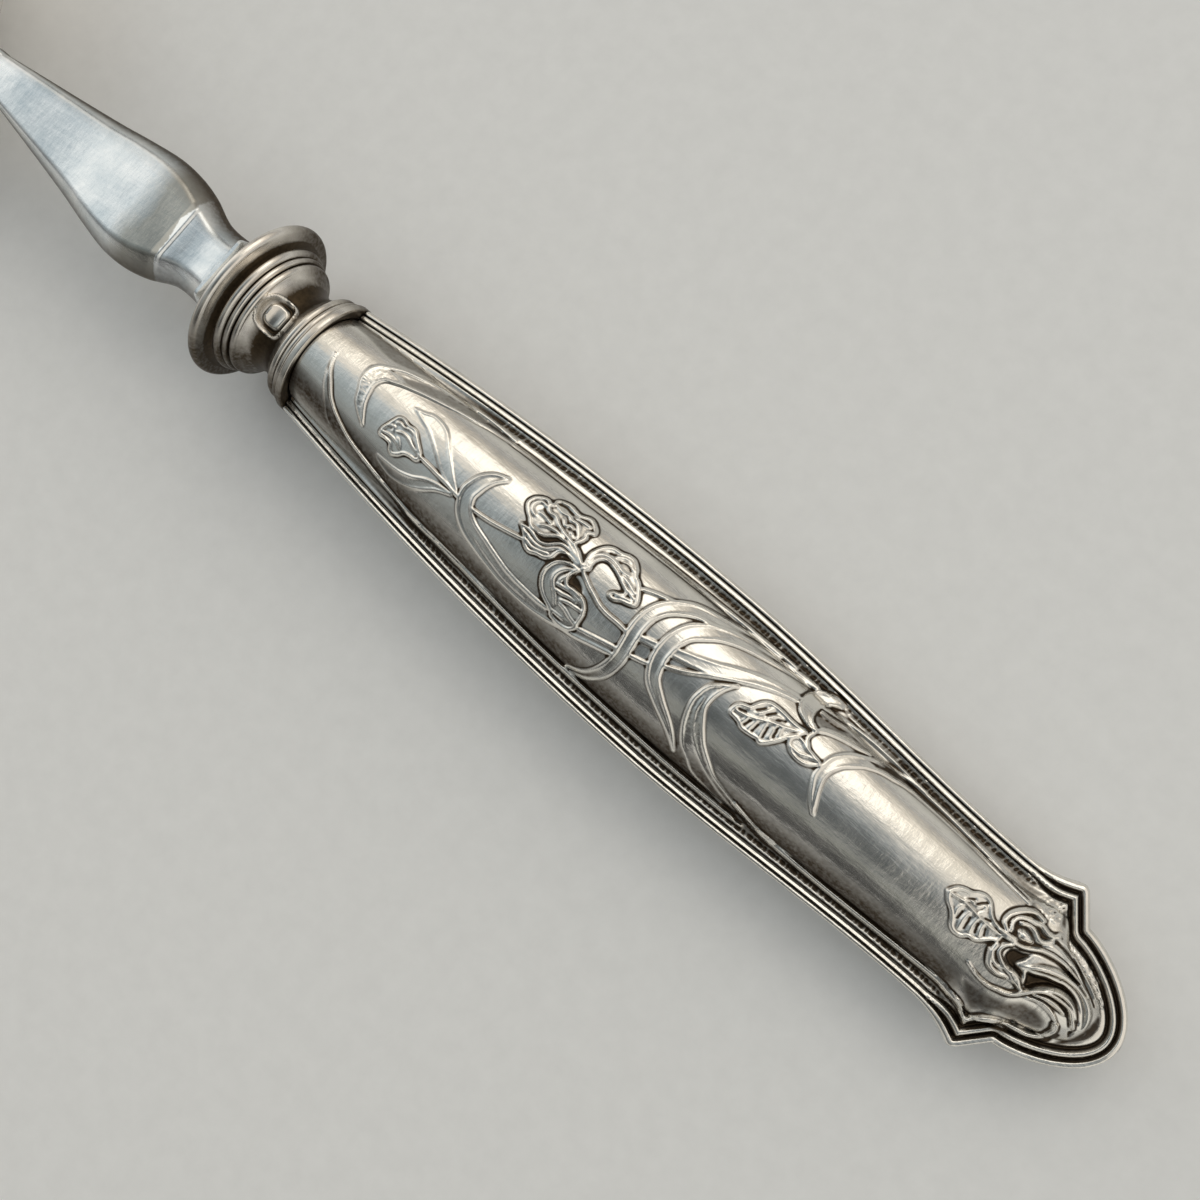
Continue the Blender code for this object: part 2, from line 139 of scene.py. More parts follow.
REEDS = ((8.7, 0.4, 6.05, 0.4), (9.5, 0.36, 6.2, 0.4))
SLEEVE_START = 9.9
SLEEVE_END = 10.6
SLEEVE_RADIUS = 6.45
SLEEVE_INSIDE = 5.3
SLEEVE_LIP = 0.02
SLEEVE_STEP = 0.6
SLEEVE_ROUNDING = 0.15
BEAD_STEPS = 11
TURN_STEPS = 300

# Most of a side that a rounded corner takes, and the angles in degrees from which edges look sharp
CORNER_MOST_SHARE = 0.45
STRUCK_SHARP = 60
TURNED_SHARP = 50
FORGED_SHARP = 40

# Tarnish of the ferrule in its grooves and waist, and painted shade round its sides that leaves a band facing
# up unshaded, placed in degrees from straight up
GROOVE_FULL_DEPTH = 0.25
WAIST_STAIN = 0.95
WAIST_STAIN_RADIUS = 6.1
UNSHADED_MIDDLE = 9.0
UNSHADED_HALF = 20.0
UNSHADED_FADE = 55.0
SIDE_PAINTED_SHADE = 0.5

# Raised frame on the ferrule, with the low bed inside it, and how far from it the ferrule is worked
FRAME_X = 6.0
FRAME_HALF_LENGTH = 1.45
FRAME_HALF_WIDTH = 1.75
FRAME_RIM = 0.34
FRAME_RISE = 0.5
FRAME_SQUARENESS = 3
FRAME_BED = 0.75
FRAME_BED_EDGE = 0.74
FRAME_BED_FADE = 0.2
FRAME_BRIGHT = 1.5
FRAME_REACH = 1.4
FRAME_TURN = 1.0
FRAME_LEAST_RADIUS = 4.0

# Handle outline and depth
START_HALF = 6.2
WIDEST_HALF = 9.45
WAIST_HALF = 8.0
EAR_HALF = 9.5
EAR_ROUNDING = 0.5
EAR_SAMPLES = 9
EAR_FIELD_HALF = 8.7
NOTCH_HALF = 6.6
SWELL_LENGTH = 47.6
TAPER_LENGTH = 33.4
EAR_RISE_LENGTH = 5.4
EAR_DROP_LENGTH = 2.4
TERMINAL_LENGTH = 8.3
TERMINAL_FULLNESS = 1.4
START_DEPTH = 5.8
MID_DEPTH = 6.4
TERMINAL_DEPTH = 4.2
TERMINAL_SLOPE = -0.1
WEAR_FLAT = 0.12
EDGE_HEIGHT = 0.9
BORDER_SLOPE = 0.35
BORDER_WIDTH = 2.7
BORDER_START_WIDTH = 1.5
BORDER_GROWS_LENGTH = 26.0
FIELD_POWER = 0.62
SHELL_WALL = 0.9
SEAM_WIDTH = 1.3
SEAM_HEIGHT = 0.05

# Rest on the table
REST_BEYOND_WIDEST = 18.5
FLANGE_CLEARANCE = 0.3
JOINT_GAP = 0.1
FIT_GAP = 0.3

# Places along the axis
FERRULE_END = 9.5
SHELL_START = 10.7
WIDEST_X = FERRULE_END + SWELL_LENGTH
WAIST_X = WIDEST_X + TAPER_LENGTH
EAR_X = WAIST_X + EAR_RISE_LENGTH
NOTCH_X = EAR_X + EAR_DROP_LENGTH
TIP_X = NOTCH_X + TERMINAL_LENGTH
PLATE_FRONT_X = -PLATE_THICKNESS
HEEL_X = PLATE_FRONT_X - SHANK_LENGTH
BOWL_CENTRE_X = HEEL_X - BOWL_LENGTH / 2
BOWL_TIP_X = HEEL_X - BOWL_LENGTH
REST_X = WIDEST_X + REST_BEYOND_WIDEST

# Curves of the ornament: step between their points, half width unless one is given, least half width, and how
# far beyond it points are looked for
CURVE_STEP = 0.12
CURVE_HALF = 0.1
CURVE_LEAST_HALF = 0.02
CURVE_MARGIN = 0.05

# How far a near rim takes to fall at its sides, how much of its length it thins out over, and its least width
RIM_FALL = 0.12
RIM_END = 1.2
RIM_LEAST = 0.05

# Wires, bands and leaves of the ornament: heights and half widths at thin ends, and softness of the bodies
WIRE_LEAST_RISE = 0.3
BAND_SOFT = 0.15
BAND_END_HALF = 0.16
LEAF_SOFT = 0.2
STROKE_START = 0.8
STROKE_END = 0.75

# Border of each shell: place and half width of its threads, how they rise, and the dark lines that part them,
# as place, half width and depth, with how all this grows round the handle's end
THREADS = ((0.26, 0.33), (0.87, 0.33))
THREAD_RISE = 0.2
SLANT_RISE = 0.36
SLANT_CREST = -0.45
SLANT_BLEND = 6.0
THREAD_LINES = ((0.58, 0.13, 0.2), (1.17, 0.13, 0.2))
LINE_STAIN = 0.8
END_SPREAD = 0.55
END_LINE_DEPTH = 0.2
END_LINE_WIDER = 0.9
EDGE_ROUNDING = 0.3
EDGE_DROP = 0.2

# Barred channel of the border: its section, where it starts and ends, and its uneven bars
CHANNEL_MIDDLE = 1.72
CHANNEL_HALF = 0.4
CHANNEL_DEPTH = 0.3
CHANNEL_STAIN = 0.92
CHANNEL_FROM_X = 17.0
CHANNEL_FULL_X = 30.0
CHANNEL_ENDS_X = 91.0
CHANNEL_GONE_X = 94.5
BAR_PITCH = 0.62
BAR_HALF = 0.22
BAR_RISE = 0.12
BAR_CLEAN = 0.55
BAR_SLANT = 0.5
BAR_WANDER = ((0.12, 5.0), (0.1, 2.1))
BAR_STRENGTH = 0.7
BAR_UNEVEN = 0.3
BAR_WAVES = (11.0, 2.3)
BARS_FROM_X = 28.0

# How far tarnish goes beside the ornament; the dark band along the field's edge, partly tarnish and partly
# painted shade for a darker reflection there; and painted shade along the field's edge on the near side
BESIDE_FROM = 0.012
BESIDE_SPAN = 0.045
FIELD_STAIN = 0.85
END_STAIN = 0.65
RAISED_BRIGHT = 0.12
EDGE_HAZE_AND_SHADE = 0.26
EDGE_HAZE_AND_SHADE_PLACE = 2.9
EDGE_HAZE_AND_SHADE_WIDTH = 1.1
# Painted shade along the field's edge on the near side: strength, place, width and blend
NEAR_PAINTED_SHADE = 0.6
NEAR_SHADE_PLACE = 3.1
NEAR_SHADE_WIDTH = 1.9
NEAR_SHADE_BLEND = 2.0

# Grids of the shells' outer skins: steps along the sides, ears and round end, columns in the border and field
FRONT_GRID = (0.1, 0.085, 130, 30, 150)
BACK_GRID = (0.2, 0.14, 80, 20, 80)
EARS_FROM_X = 93.0
BORDER_MARGIN = 0.1
BORDER_MOST_SHARE = 0.45
INNER_COLUMNS = 10
GRAIN_SEED = 11

# Points of the outline that distances are measured from, and how far along the handle they are looked for
END_POINTS = 400
SIDE_POINTS = 2600
SIDE_BEFORE = 4.0
SIDE_REACH = 5.0

# Camera, in the spoon's own frame, and the chart of its picture
FOCAL_PIXELS = 1250.0
IMAGE_PIXELS = 1200.0
SENSOR_WIDTH = 36.0
AIM_X = 46.44
CAMERA_DISTANCE = 117.67
CAMERA_LEAN = math.radians(8.4)
CAMERA_ROLL = math.radians(41.2)
CLIP_START = 0.005
CHART_CENTRE = (466.4, -4.1)
CHART_TURN = -0.0125
CHART_ROUNDS = 12
CHART_END_MARGIN = 0.05

# Silver of each piece: clean, dull and tarnished colour, roughness, where tarnish is full, and scratches. The
# tarnished colour also paints the shade that the pieces' hollow tone carries
HANDLE_SILVER = ((0.84, 0.81, 0.75), (0.68, 0.66, 0.61), (0.07, 0.05, 0.032), 0.2, 0.6, 0.9)
FERRULE_SILVER = ((0.80, 0.76, 0.70), (0.56, 0.52, 0.46), (0.07, 0.05, 0.03), 0.2, 0.5, 0.25)
SHANK_SILVER = ((0.88, 0.89, 0.88), (0.60, 0.65, 0.67), (0.12, 0.10, 0.08), 0.25, 0.6, 0.7)
BOWL_SILVER = ((0.78, 0.76, 0.72), (0.68, 0.66, 0.62), (0.20, 0.15, 0.10), 0.2, 0.6, 0.25)
CLOUD_SCALE = 260.0
SPECK_SCALE = 2400.0
SCRATCH_SCALE = 900.0
SCRATCH_STRETCH = (0.5, 2.2, 1.0)
CROSS_SCALE = 700.0
CROSS_STRETCH = (1.8, 0.6, 1.0)
SCRATCH_DEPTH = 0.00004
CLOUD_ROUGHNESS = 0.16
STAIN_ROUGHNESS = 0.25
STAIN_STARTS = 0.12
SPECK_DARKER = 0.55

# Cement and floor: dark and pale colour, scale of the grain, roughness and bump
CEMENT_COLOURS = ((0.16, 0.09, 0.05), (0.34, 0.22, 0.13))
CEMENT_SCALE = 900.0
CEMENT_ROUGHNESS = 0.85
CEMENT_BUMP = 0.4
CEMENT_DEPTH = 0.0001
PAPER_COLOURS = ((0.84, 0.84, 0.83), (0.88, 0.88, 0.87))
PAPER_SCALE = 400.0
PAPER_ROUGHNESS = 0.9

# Duller stretch of the shank in metres along the CAD frame, its colour, and how far its ends wander
DULL_STRETCH = (-0.0190, -0.0130, (0.44, 0.43, 0.39))
DULL_WANDER = 0.003
DULL_DARKER = 0.7

# Floor, in metres, and the lamp
FLOOR_RADIUS = 8.0
FLOOR_SIDES = 96
FLOOR_DROP = 0.00005
LAMP_SIZE = (0.6, 0.4)
LAMP_ENERGY = 0.58
LAMP_COLOUR = (1.0, 0.97, 0.92)
LAMP_PLACE = (0.0, 0.55, 0.55)
LAMP_TURN = math.radians(-45.0)

BLACK = (0.0, 0.0, 0.0)
WHITE = (1.0, 1.0, 1.0)

# Studio light: a long soft strip overhead towards the far side, dim on the near side, with more light from
# straight above at the bowl's end and from beyond the handle's end. Each stop is the angle from straight up,
# towards the far side, and the light from there.
SKY_PEAK = 1.25
HANDLE_STOPS = (
    (-180, (0.25, 0.25, 0.25)),
    (-95, (0.10, 0.10, 0.10)),
    (-70, (0.05, 0.05, 0.05)),
    (-56, (0.10, 0.10, 0.10)),
    (-42, (0.30, 0.31, 0.29)),
    (-33, (0.24, 0.25, 0.25)),
    (-22, (0.09, 0.10, 0.105)),
    (-6, (0.13, 0.145, 0.155)),
    (8, (0.30, 0.33, 0.35)),
    (22, (0.55, 0.56, 0.55)),
    (36, (0.86, 0.82, 0.75)),
    (50, (0.92, 0.87, 0.77)),
    (66, (0.84, 0.78, 0.69)),
    (80, (0.42, 0.39, 0.35)),
    (95, (0.25, 0.24, 0.23)),
    (180, (0.25, 0.25, 0.25)),
)
START_STOPS = (
    (-180, (0.25, 0.25, 0.25)),
    (-95, (0.10, 0.10, 0.10)),
    (-80, (0.14, 0.145, 0.14)),
    (-55, (0.28, 0.30, 0.30)),
    (-25, (0.36, 0.41, 0.43)),
    (-5, (0.46, 0.53, 0.57)),
    (10, (0.62, 0.68, 0.72)),
    (20, (0.86, 0.82, 0.75)),
    (45, (0.92, 0.87, 0.77)),
    (64, (0.80, 0.74, 0.65)),
    (80, (0.36, 0.33, 0.30)),
    (95, (0.22, 0.21, 0.20)),
    (180, (0.25, 0.25, 0.25)),
)
BOWL_STOPS = (
    (-180, (0.25, 0.25, 0.25)),
    (-92, (0.12, 0.12, 0.12)),
    (-60, (0.16, 0.16, 0.16)),
    (-30, (0.40, 0.43, 0.44)),
    (-8, (1.00, 1.04, 1.04)),
    (25, (1.08, 1.06, 1.02)),
    (45, (0.85, 0.82, 0.77)),
    (65, (0.25, 0.24, 0.23)),
    (95, (0.22, 0.22, 0.22)),
    (180, (0.25, 0.25, 0.25)),
)
TIP_STOPS = (
    (-180, (0.25, 0.25, 0.25)),
    (-95, (0.20, 0.20, 0.20)),
    (-60, (0.70, 0.70, 0.66)),
    (-25, (0.88, 0.86, 0.80)),
    (20, (0.92, 0.87, 0.80)),
    (60, (0.92, 0.87, 0.80)),
    (90, (0.50, 0.48, 0.45)),
    (180, (0.25, 0.25, 0.25)),
)
FRONT_STOPS = (
    (-180, (0.25, 0.25, 0.25)),
    (-90, (0.20, 0.20, 0.20)),
    (-35, (0.80, 0.82, 0.82)),
    (-10, (1.10, 1.10, 1.06)),
    (40, (1.10, 1.08, 1.02)),
    (75, (0.30, 0.29, 0.28)),
    (180, (0.25, 0.25, 0.25)),
)

# Where along the spoon one sky passes into the next, as the direction's part along the axis
HANDLE_TO_START = (-0.02, -0.40)
START_TO_BOWL = (-0.46, -0.60)
BOWL_TO_FRONT = (-0.66, -0.80)
HANDLE_TO_TIP = (0.34, 0.62)

# Plain light near the horizon, and the rise over which the sky takes its place
HORIZON = (0.44, 0.44, 0.43)
HORIZON_TO_SKY = (0.12, 0.30)


def hermite(start, end, start_slope, end_slope, span, share):
    square = share * share
    cube = square * share
    return ((2 * cube - 3 * square + 1) * start + (cube - 2 * square + share) * span * start_slope
            + (3 * square - 2 * cube) * end + (cube - square) * span * end_slope)


def crown_depth(x):
    """Depth of a shell from the seam to the crown, on the middle line."""
    x = np.clip(np.asarray(x, float), FERRULE_END, NOTCH_X)
    swell = hermite(START_DEPTH, MID_DEPTH, 0.0, 0.0, SWELL_LENGTH, (x - FERRULE_END) / SWELL_LENGTH)
    span = NOTCH_X - WIDEST_X
    taper = hermite(MID_DEPTH, TERMINAL_DEPTH, 0.0, TERMINAL_SLOPE, span, (x - WIDEST_X) / span)
    return np.where(x <= WIDEST_X, swell, taper)


TABLE_SLOPE = (FLANGE_RADIUS + FLANGE_CLEARANCE - float(crown_depth(REST_X)) + WEAR_FLAT) / REST_X


def table_depth(x):
    return FLANGE_RADIUS + FLANGE_CLEARANCE - x * TABLE_SLOPE


def axis_matrix():
    """From the spoon's own frame in millimetres to the CAD frame in metres."""
    tilt = math.atan(TABLE_SLOPE)
    middle = (TIP_X + BOWL_TIP_X) / 2
    place = Matrix.Translation((-middle * math.cos(tilt) * MM, 0.0, table_depth(0.0) * math.cos(tilt) * MM))
    return place @ Matrix.Rotation(tilt, 4, "Y") @ Matrix.Scale(MM, 4)


AXIS = axis_matrix()


def sharp_half_width(x):
    """Half width of the handle's outline, with a sharp corner at each ear."""
    x = np.asarray(x, float)
    start_slope = 2.0 * (WIDEST_HALF - START_HALF) / SWELL_LENGTH
    ear_slope = 2.0 * (EAR_HALF - WAIST_HALF) / EAR_RISE_LENGTH
    swell = hermite(START_HALF, WIDEST_HALF, start_slope, 0.0, SWELL_LENGTH, (x - FERRULE_END) / SWELL_LENGTH)
    taper = hermite(WIDEST_HALF, WAIST_HALF, 0.0, 0.0, TAPER_LENGTH, (x - WIDEST_X) / TAPER_LENGTH)
    ear = hermite(WAIST_HALF, EAR_HALF, 0.0, ear_slope, EAR_RISE_LENGTH, (x - WAIST_X) / EAR_RISE_LENGTH)
    drop = EAR_HALF + (NOTCH_HALF - EAR_HALF) * (x - EAR_X) / EAR_DROP_LENGTH
    reach = np.clip((x - NOTCH_X) / TERMINAL_LENGTH, 0.0, 1.0)
    end = NOTCH_HALF * np.sqrt(1 - reach ** TERMINAL_FULLNESS)
    return np.select([x < WIDEST_X, x < WAIST_X, x < EAR_X, x < NOTCH_X], [swell, taper, ear, drop], end)


def half_width(x):
    """Half width of the handle's outline, ears and round terminal included."""
    x = np.asarray(x, float)
    offsets = np.linspace(-EAR_ROUNDING, EAR_ROUNDING, EAR_SAMPLES)
    soft = np.mean([sharp_half_width(np.minimum(x + offset, NOTCH_X - 1e-6)) for offset in offsets], axis=0)
    return np.where(np.abs(x - EAR_X) < 2 * EAR_ROUNDING, soft, sharp_half_width(x))


def smooth_width(x):
    """Half width that the raised field follows, with the ears softened."""
    x = np.asarray(x, float)
    rise = np.clip((x - WAIST_X) / EAR_RISE_LENGTH, 0.0, 1.0)
    drop = np.clip((x - EAR_X) / EAR_DROP_LENGTH, 0.0, 1.0)
    ear = hermite(WAIST_HALF, EAR_FIELD_HALF, 0.0, 0.0, EAR_RISE_LENGTH, rise)
    notch = hermite(EAR_FIELD_HALF, NOTCH_HALF, 0.0, 0.0, EAR_DROP_LENGTH, drop)
    return np.select([x < WAIST_X, x < EAR_X], [half_width(x), ear], notch)


def terminal_points(count):
    """Round end of the outline from the notch to the tip, on the far side."""
    angle = np.linspace(math.pi / 2, 0.0, count)
    x = NOTCH_X + TERMINAL_LENGTH * np.cos(angle) ** (2 / TERMINAL_FULLNESS)
    return x, NOTCH_HALF * np.sin(angle)


END_X, END_Y = terminal_points(END_POINTS)
END_ANGLE = np.arctan2(END_Y, END_X - NOTCH_X)[::-1]
END_RADIUS = np.hypot(END_Y, END_X - NOTCH_X)[::-1]


def border_width(x):
    """Width of the border, which is narrow beside the ferrule."""
    share = np.clip((np.asarray(x, float) - FERRULE_END) / BORDER_GROWS_LENGTH, 0.0, 1.0)
    return hermite(BORDER_START_WIDTH, BORDER_WIDTH, 0.0, 0.0, 1.0, share)


def field_edge(x):
    return EDGE_HEIGHT + BORDER_SLOPE * border_width(x)


def field_rise(x, y):
    """Height of the convex field above its edge, over points in plan."""
    across = np.abs(y)
    reach = smooth_width(x)
    beyond = x > NOTCH_X
    angle = np.arctan2(across, np.maximum(x - NOTCH_X, 1e-6))
    reach = np.where(beyond, np.interp(angle, END_ANGLE, END_RADIUS), reach)
    out = np.where(beyond, np.hypot(across, x - NOTCH_X), across)
    share = np.clip(out / np.maximum(reach - border_width(x), 1e-6), 0.0, 1.0)
    return (crown_depth(x) - field_edge(x)) * (1 - share ** 2) ** FIELD_POWER


def plain_height(x, y):
    """Height of the shell without its threads and ornament, beside the handle's long sides."""
    inset = np.clip(half_width(x) - np.abs(y), 0.0, border_width(x))
    return EDGE_HEIGHT + BORDER_SLOPE * inset + field_rise(x, y)


def outline_inset(rows_x, grid_y):
    """Distance in from the handle's outline, for rows of points that share one x each."""
    side_x = np.linspace(FERRULE_END - SIDE_BEFORE, NOTCH_X, SIDE_POINTS)
    side_y = half_width(np.maximum(side_x, FERRULE_END))
    all_x = np.concatenate([side_x, END_X])
    all_y = np.concatenate([side_y, END_Y])
    result = np.empty_like(grid_y)
    for row, x in enumerate(rows_x):
        close = np.abs(all_x - x) < SIDE_REACH
        gap_x = (all_x[close] - x)[None, :]
        gap_y = all_y[close][None, :] - np.abs(grid_y[row])[:, None]
        result[row] = np.sqrt((gap_x ** 2 + gap_y ** 2).min(axis=1))
    return result


def ridge(distance, half):
    """Round-topped profile of a thread or wire."""
    return np.clip(1 - (distance / half) ** 2, 0.0, 1.0) ** 2


def blur(values, cells):
    """Soft average over a grid, along both of its directions."""
    reach = 2 * cells
    steps = np.arange(-reach, reach + 1)
    kernel = np.exp(-0.5 * (steps / cells) ** 2)
    kernel /= kernel.sum()
    result = values
    for direction in (0, 1):
        rows = np.swapaxes(result, 0, direction)
        padded = np.pad(rows, [(reach, reach), (0, 0)], "edge")
        total = sum(weight * padded[step:step + len(rows)] for step, weight in enumerate(kernel))
        result = np.swapaxes(total, 0, direction)
    return result


def chart_to_plan(points):
    """Where on the front shell a point of the photograph's chart lies, by the camera."""
    points = np.asarray(points, float)
    along = points[:, 0] - CHART_CENTRE[0]
    across = points[:, 1] - CHART_CENTRE[1]
    turn_c, turn_s = math.cos(CHART_TURN), math.sin(CHART_TURN)
    image_x = (along * turn_c + across * turn_s) / FOCAL_PIXELS
    image_y = (-along * turn_s + across * turn_c) / FOCAL_PIXELS
    lean_c, lean_s = math.cos(CAMERA_LEAN), math.sin(CAMERA_LEAN)
    ray_x = -lean_s + image_x * lean_c
    ray_z = -lean_c - image_x * lean_s
    height = np.full(len(points), MID_DEPTH)
    for _ in range(CHART_ROUNDS):
        reach = (height - CAMERA_DISTANCE * lean_c) / ray_z
        x = AIM_X + CAMERA_DISTANCE * lean_s + reach * ray_x
        y = reach * image_y
        inside = np.clip(x, FERRULE_END, TIP_X - CHART_END_MARGIN)
        height = 0.5 * height + 0.5 * (field_edge(inside) + field_rise(inside, y))
    return np.column_stack([x, y])


def curve_through(points, widths=None):
    """Smooth line through points in plan, with the half width at each of its points."""
    points = np.asarray(points, float)
    widths = np.full(len(points), CURVE_HALF) if widths is None else np.asarray(widths, float)
    rows = np.column_stack([points, widths])
    result = []
    for index in range(len(rows) - 1):
        first, second = rows[index], rows[index + 1]
        before = rows[max(index - 1, 0)]
        after = rows[min(index + 2, len(rows) - 1)]
        count = max(2, int(np.hypot(*(second - first)[:2]) / CURVE_STEP))
        share = (np.arange(count) / count)[:, None]
        result.append(hermite(first, second, (second - before) / 2, (after - first) / 2, 1.0, share))
    result.append(rows[-1:])
    line = np.concatenate(result)
    return line[:, :2], np.maximum(line[:, 2], CURVE_LEAST_HALF)


class Relief:
    """Height of the ornament over a grid of plan points."""

    def __init__(self, grid_x, grid_y, seed):
        self.x = grid_x.ravel()
        self.y = grid_y.ravel()
        self.height = np.zeros(self.x.size)
        self.stain = np.zeros(self.x.size)
        self.cover = np.zeros(self.x.size)
        self.grain = np.random.default_rng(seed).random(self.x.size)

    def near(self, line, reach):
        low = line.min(axis=0) - reach
        high = line.max(axis=0) + reach
        inside = (self.x > low[0]) & (self.x < high[0]) & (self.y > low[1]) & (self.y < high[1])
        return np.flatnonzero(inside)

    def measure(self, line, widths, reach):
        """Grid points beside a line, how far they are from it and how wide it is there."""
        chosen = self.near(line, reach)
        px, py = self.x[chosen], self.y[chosen]
        best = np.full(chosen.size, 1e9)
        half = np.zeros(chosen.size)
        for index in range(len(line) - 1):
            start, end = line[index], line[index + 1]
            low = np.minimum(start, end) - reach
            high = np.maximum(start, end) + reach
            beside = np.flatnonzero((px > low[0]) & (px < high[0]) & (py > low[1]) & (py < high[1]))
            if beside.size == 0:
                continue
            way = end - start
            size = max(float(way @ way), 1e-9)
            from_x = px[beside] - start[0]
            from_y = py[beside] - start[1]
            share = np.clip((from_x * way[0] + from_y * way[1]) / size, 0.0, 1.0)
            gap = np.hypot(from_x - share * way[0], from_y - share * way[1])
            closer = gap < best[beside]
            best[beside[closer]] = gap[closer]
            half[beside[closer]] = (widths[index] + share * (widths[index + 1] - widths[index]))[closer]
        found = best < reach
        return chosen[found], best[found], half[found]

    def raise_to(self, chosen, height):
        self.height[chosen] = np.maximum(self.height[chosen], height)

    def trace(self, points, half):
        """Grid points beside a curve of the chart. Its half width is one number, or start, middle and end."""
        plan = chart_to_plan(points)
        shares = np.linspace(0.0, 1.0, len(plan))
        widths = np.interp(shares, [0.0, 0.5, 1.0], half) if np.ndim(half) else np.full(len(plan), half)
        line, widths = curve_through(plan, widths)
        return self.measure(line, widths, float(widths.max()) + CURVE_MARGIN)

    def wire(self, points, half, height):
        """Round wire along a curve."""
        chosen, gap, wide = self.trace(points, half)
        share = np.minimum(1.0, wide / np.max(half) + WIRE_LEAST_RISE)
        self.raise_to(chosen, height * share * ridge(gap, wide))

    def groove(self, points, half=0.15, depth=0.16):
        """Dark line cut along a curve."""
        chosen, gap, wide = self.trace(points, half)
        deep = ridge(gap, wide)
        self.height[chosen] -= depth * deep
        self.stain[chosen] = np.maximum(self.stain[chosen], deep)

    def ledge(self, points, half, tilt, step, grows=4.0):
        """Clean rim along a near edge: a step up from the ground, then a flat top that slopes outwards."""
        line, _ = curve_through(chart_to_plan(points))
        order = np.argsort(line[:, 0])
        chosen = self.near(line, 3 * half)
        x, y = self.x[chosen], self.y[chosen]
        ends = np.clip((line[-1, 0] - x) / RIM_END, 0.0, 1.0)
        wide = half * np.clip((x - line[0, 0]) / grows, RIM_LEAST, 1.0) * np.maximum(ends, RIM_LEAST)
        middle = np.interp(x, line[order, 0], line[order, 1])
        gap = y - middle
        crest = plain_height(x, middle + wide) + step * wide / half + tilt * (wide - gap)
        ground = plain_height(x, y)
        kept = np.clip((gap + wide) / RIM_FALL + 1, 0.0, 1.0)
        kept *= np.clip((wide - gap) / RIM_FALL + 1, 0.0, 1.0)
        kept *= np.sqrt(ends) * (x >= line[0, 0])
        self.raise_to(chosen, kept * np.maximum(crest - ground, 0.0))
        self.cover[chosen] = np.maximum(self.cover[chosen], (np.abs(gap) < wide) * (kept > 0))

    def inside(self, polygon):
        """Grid points inside a closed line in plan."""
        chosen = self.near(polygon, 0.0)
        px, py = self.x[chosen], self.y[chosen]
        odd = np.zeros(chosen.size, bool)
        closed = np.vstack([polygon, polygon[:1]])
        for start, end in zip(closed[:-1], closed[1:]):
            crosses = (start[1] > py) != (end[1] > py)
            rise = end[1] - start[1] if end[1] != start[1] else 1e-9
            odd ^= crosses & (px < start[0] + (py - start[1]) * (end[0] - start[0]) / rise)
        return chosen[odd]

    def body(self, outline, soft):
        """Grid points inside a closed outline of the chart, and how far in they are, as a share of soft."""
        plan, _ = curve_through(chart_to_plan(list(outline) + [outline[0]]))
        inner = self.inside(plan)
        chosen, gap, _ = self.measure(plan, np.full(len(plan), soft), soft)
        distance = np.full(self.height.size, soft)
        distance[chosen] = gap
        return inner, distance[inner] / soft

    def pillow(self, outline, height, soft, grain=0.0):
        """Raised body, round at its edge and stippled where it has a grain."""
        inner, share = self.body(outline, soft)
        self.raise_to(inner, (1 - (1 - share) ** 2) * (height + grain * (self.grain[inner] - 0.5)))

    def sink(self, outline, depth, soft=0.4, stain=0.9):
        """Dark hollow in the ground."""
        inner, share = self.body(outline, soft)
        deep = hermite(0.0, 1.0, 0.0, 0.0, 1.0, share)
        self.height[inner] -= depth * deep
        self.stain[inner] = np.maximum(self.stain[inner], stain * deep)

    def clear(self, outline, soft=0.2):
        """Plain ground inside an outline, where a piece of ornament lies over the border."""
        inner, share = self.body(outline, soft)
        self.cover[inner] = np.maximum(self.cover[inner], share)
        self.height[inner] *= 1 - share
        self.stain[inner] *= 1 - share

    def band(self, outer, inner, floor=0.08, edge=0.24, half=0.22, grain=0.0):
        """Ribbon between two curves: both edges raised, the floor between them lower."""
        self.pillow(list(outer) + list(inner)[::-1], floor, BAND_SOFT, grain)
        for line in (outer, inner):
            self.wire(line, (BAND_END_HALF, half, BAND_END_HALF), edge)

    def ribbon(self, centre, halves, floor=0.12, edge=0.26, half=0.24):
        """Ribbon along a centre curve that lies over what it crosses, with half widths from end to end."""
        plan = chart_to_plan(centre)
        shares = np.linspace(0.0, 1.0, len(plan))
        widths = np.interp(shares, np.linspace(0.0, 1.0, len(halves)), halves)
        line, widths = curve_through(plan, widths)
        chosen, gap, wide = self.measure(line, widths, float(widths.max()) + half + CURVE_MARGIN)
        rim = edge * ridge(np.abs(gap - wide), half)
        within = gap < wide
        over = np.maximum(rim, floor)
        self.height[chosen] = np.where(within, over, np.maximum(self.height[chosen], rim))
        self.stain[chosen[within]] = 0.0

    def spray(self, outline, strokes, slots=(), body=0.14, height=0.34, half=0.23):
        """Leaf or petal: a low body with a rolled edge, folds or veins as strokes over it, and dark slots."""
        self.pillow(outline, body, LEAF_SOFT)
        self.wire(list(outline) + [outline[0]], half, height)
        for stroke in strokes:
            self.wire(stroke, (STROKE_START * half, half, STROKE_END * half), height)
        for slot in slots:
            self.groove(slot)


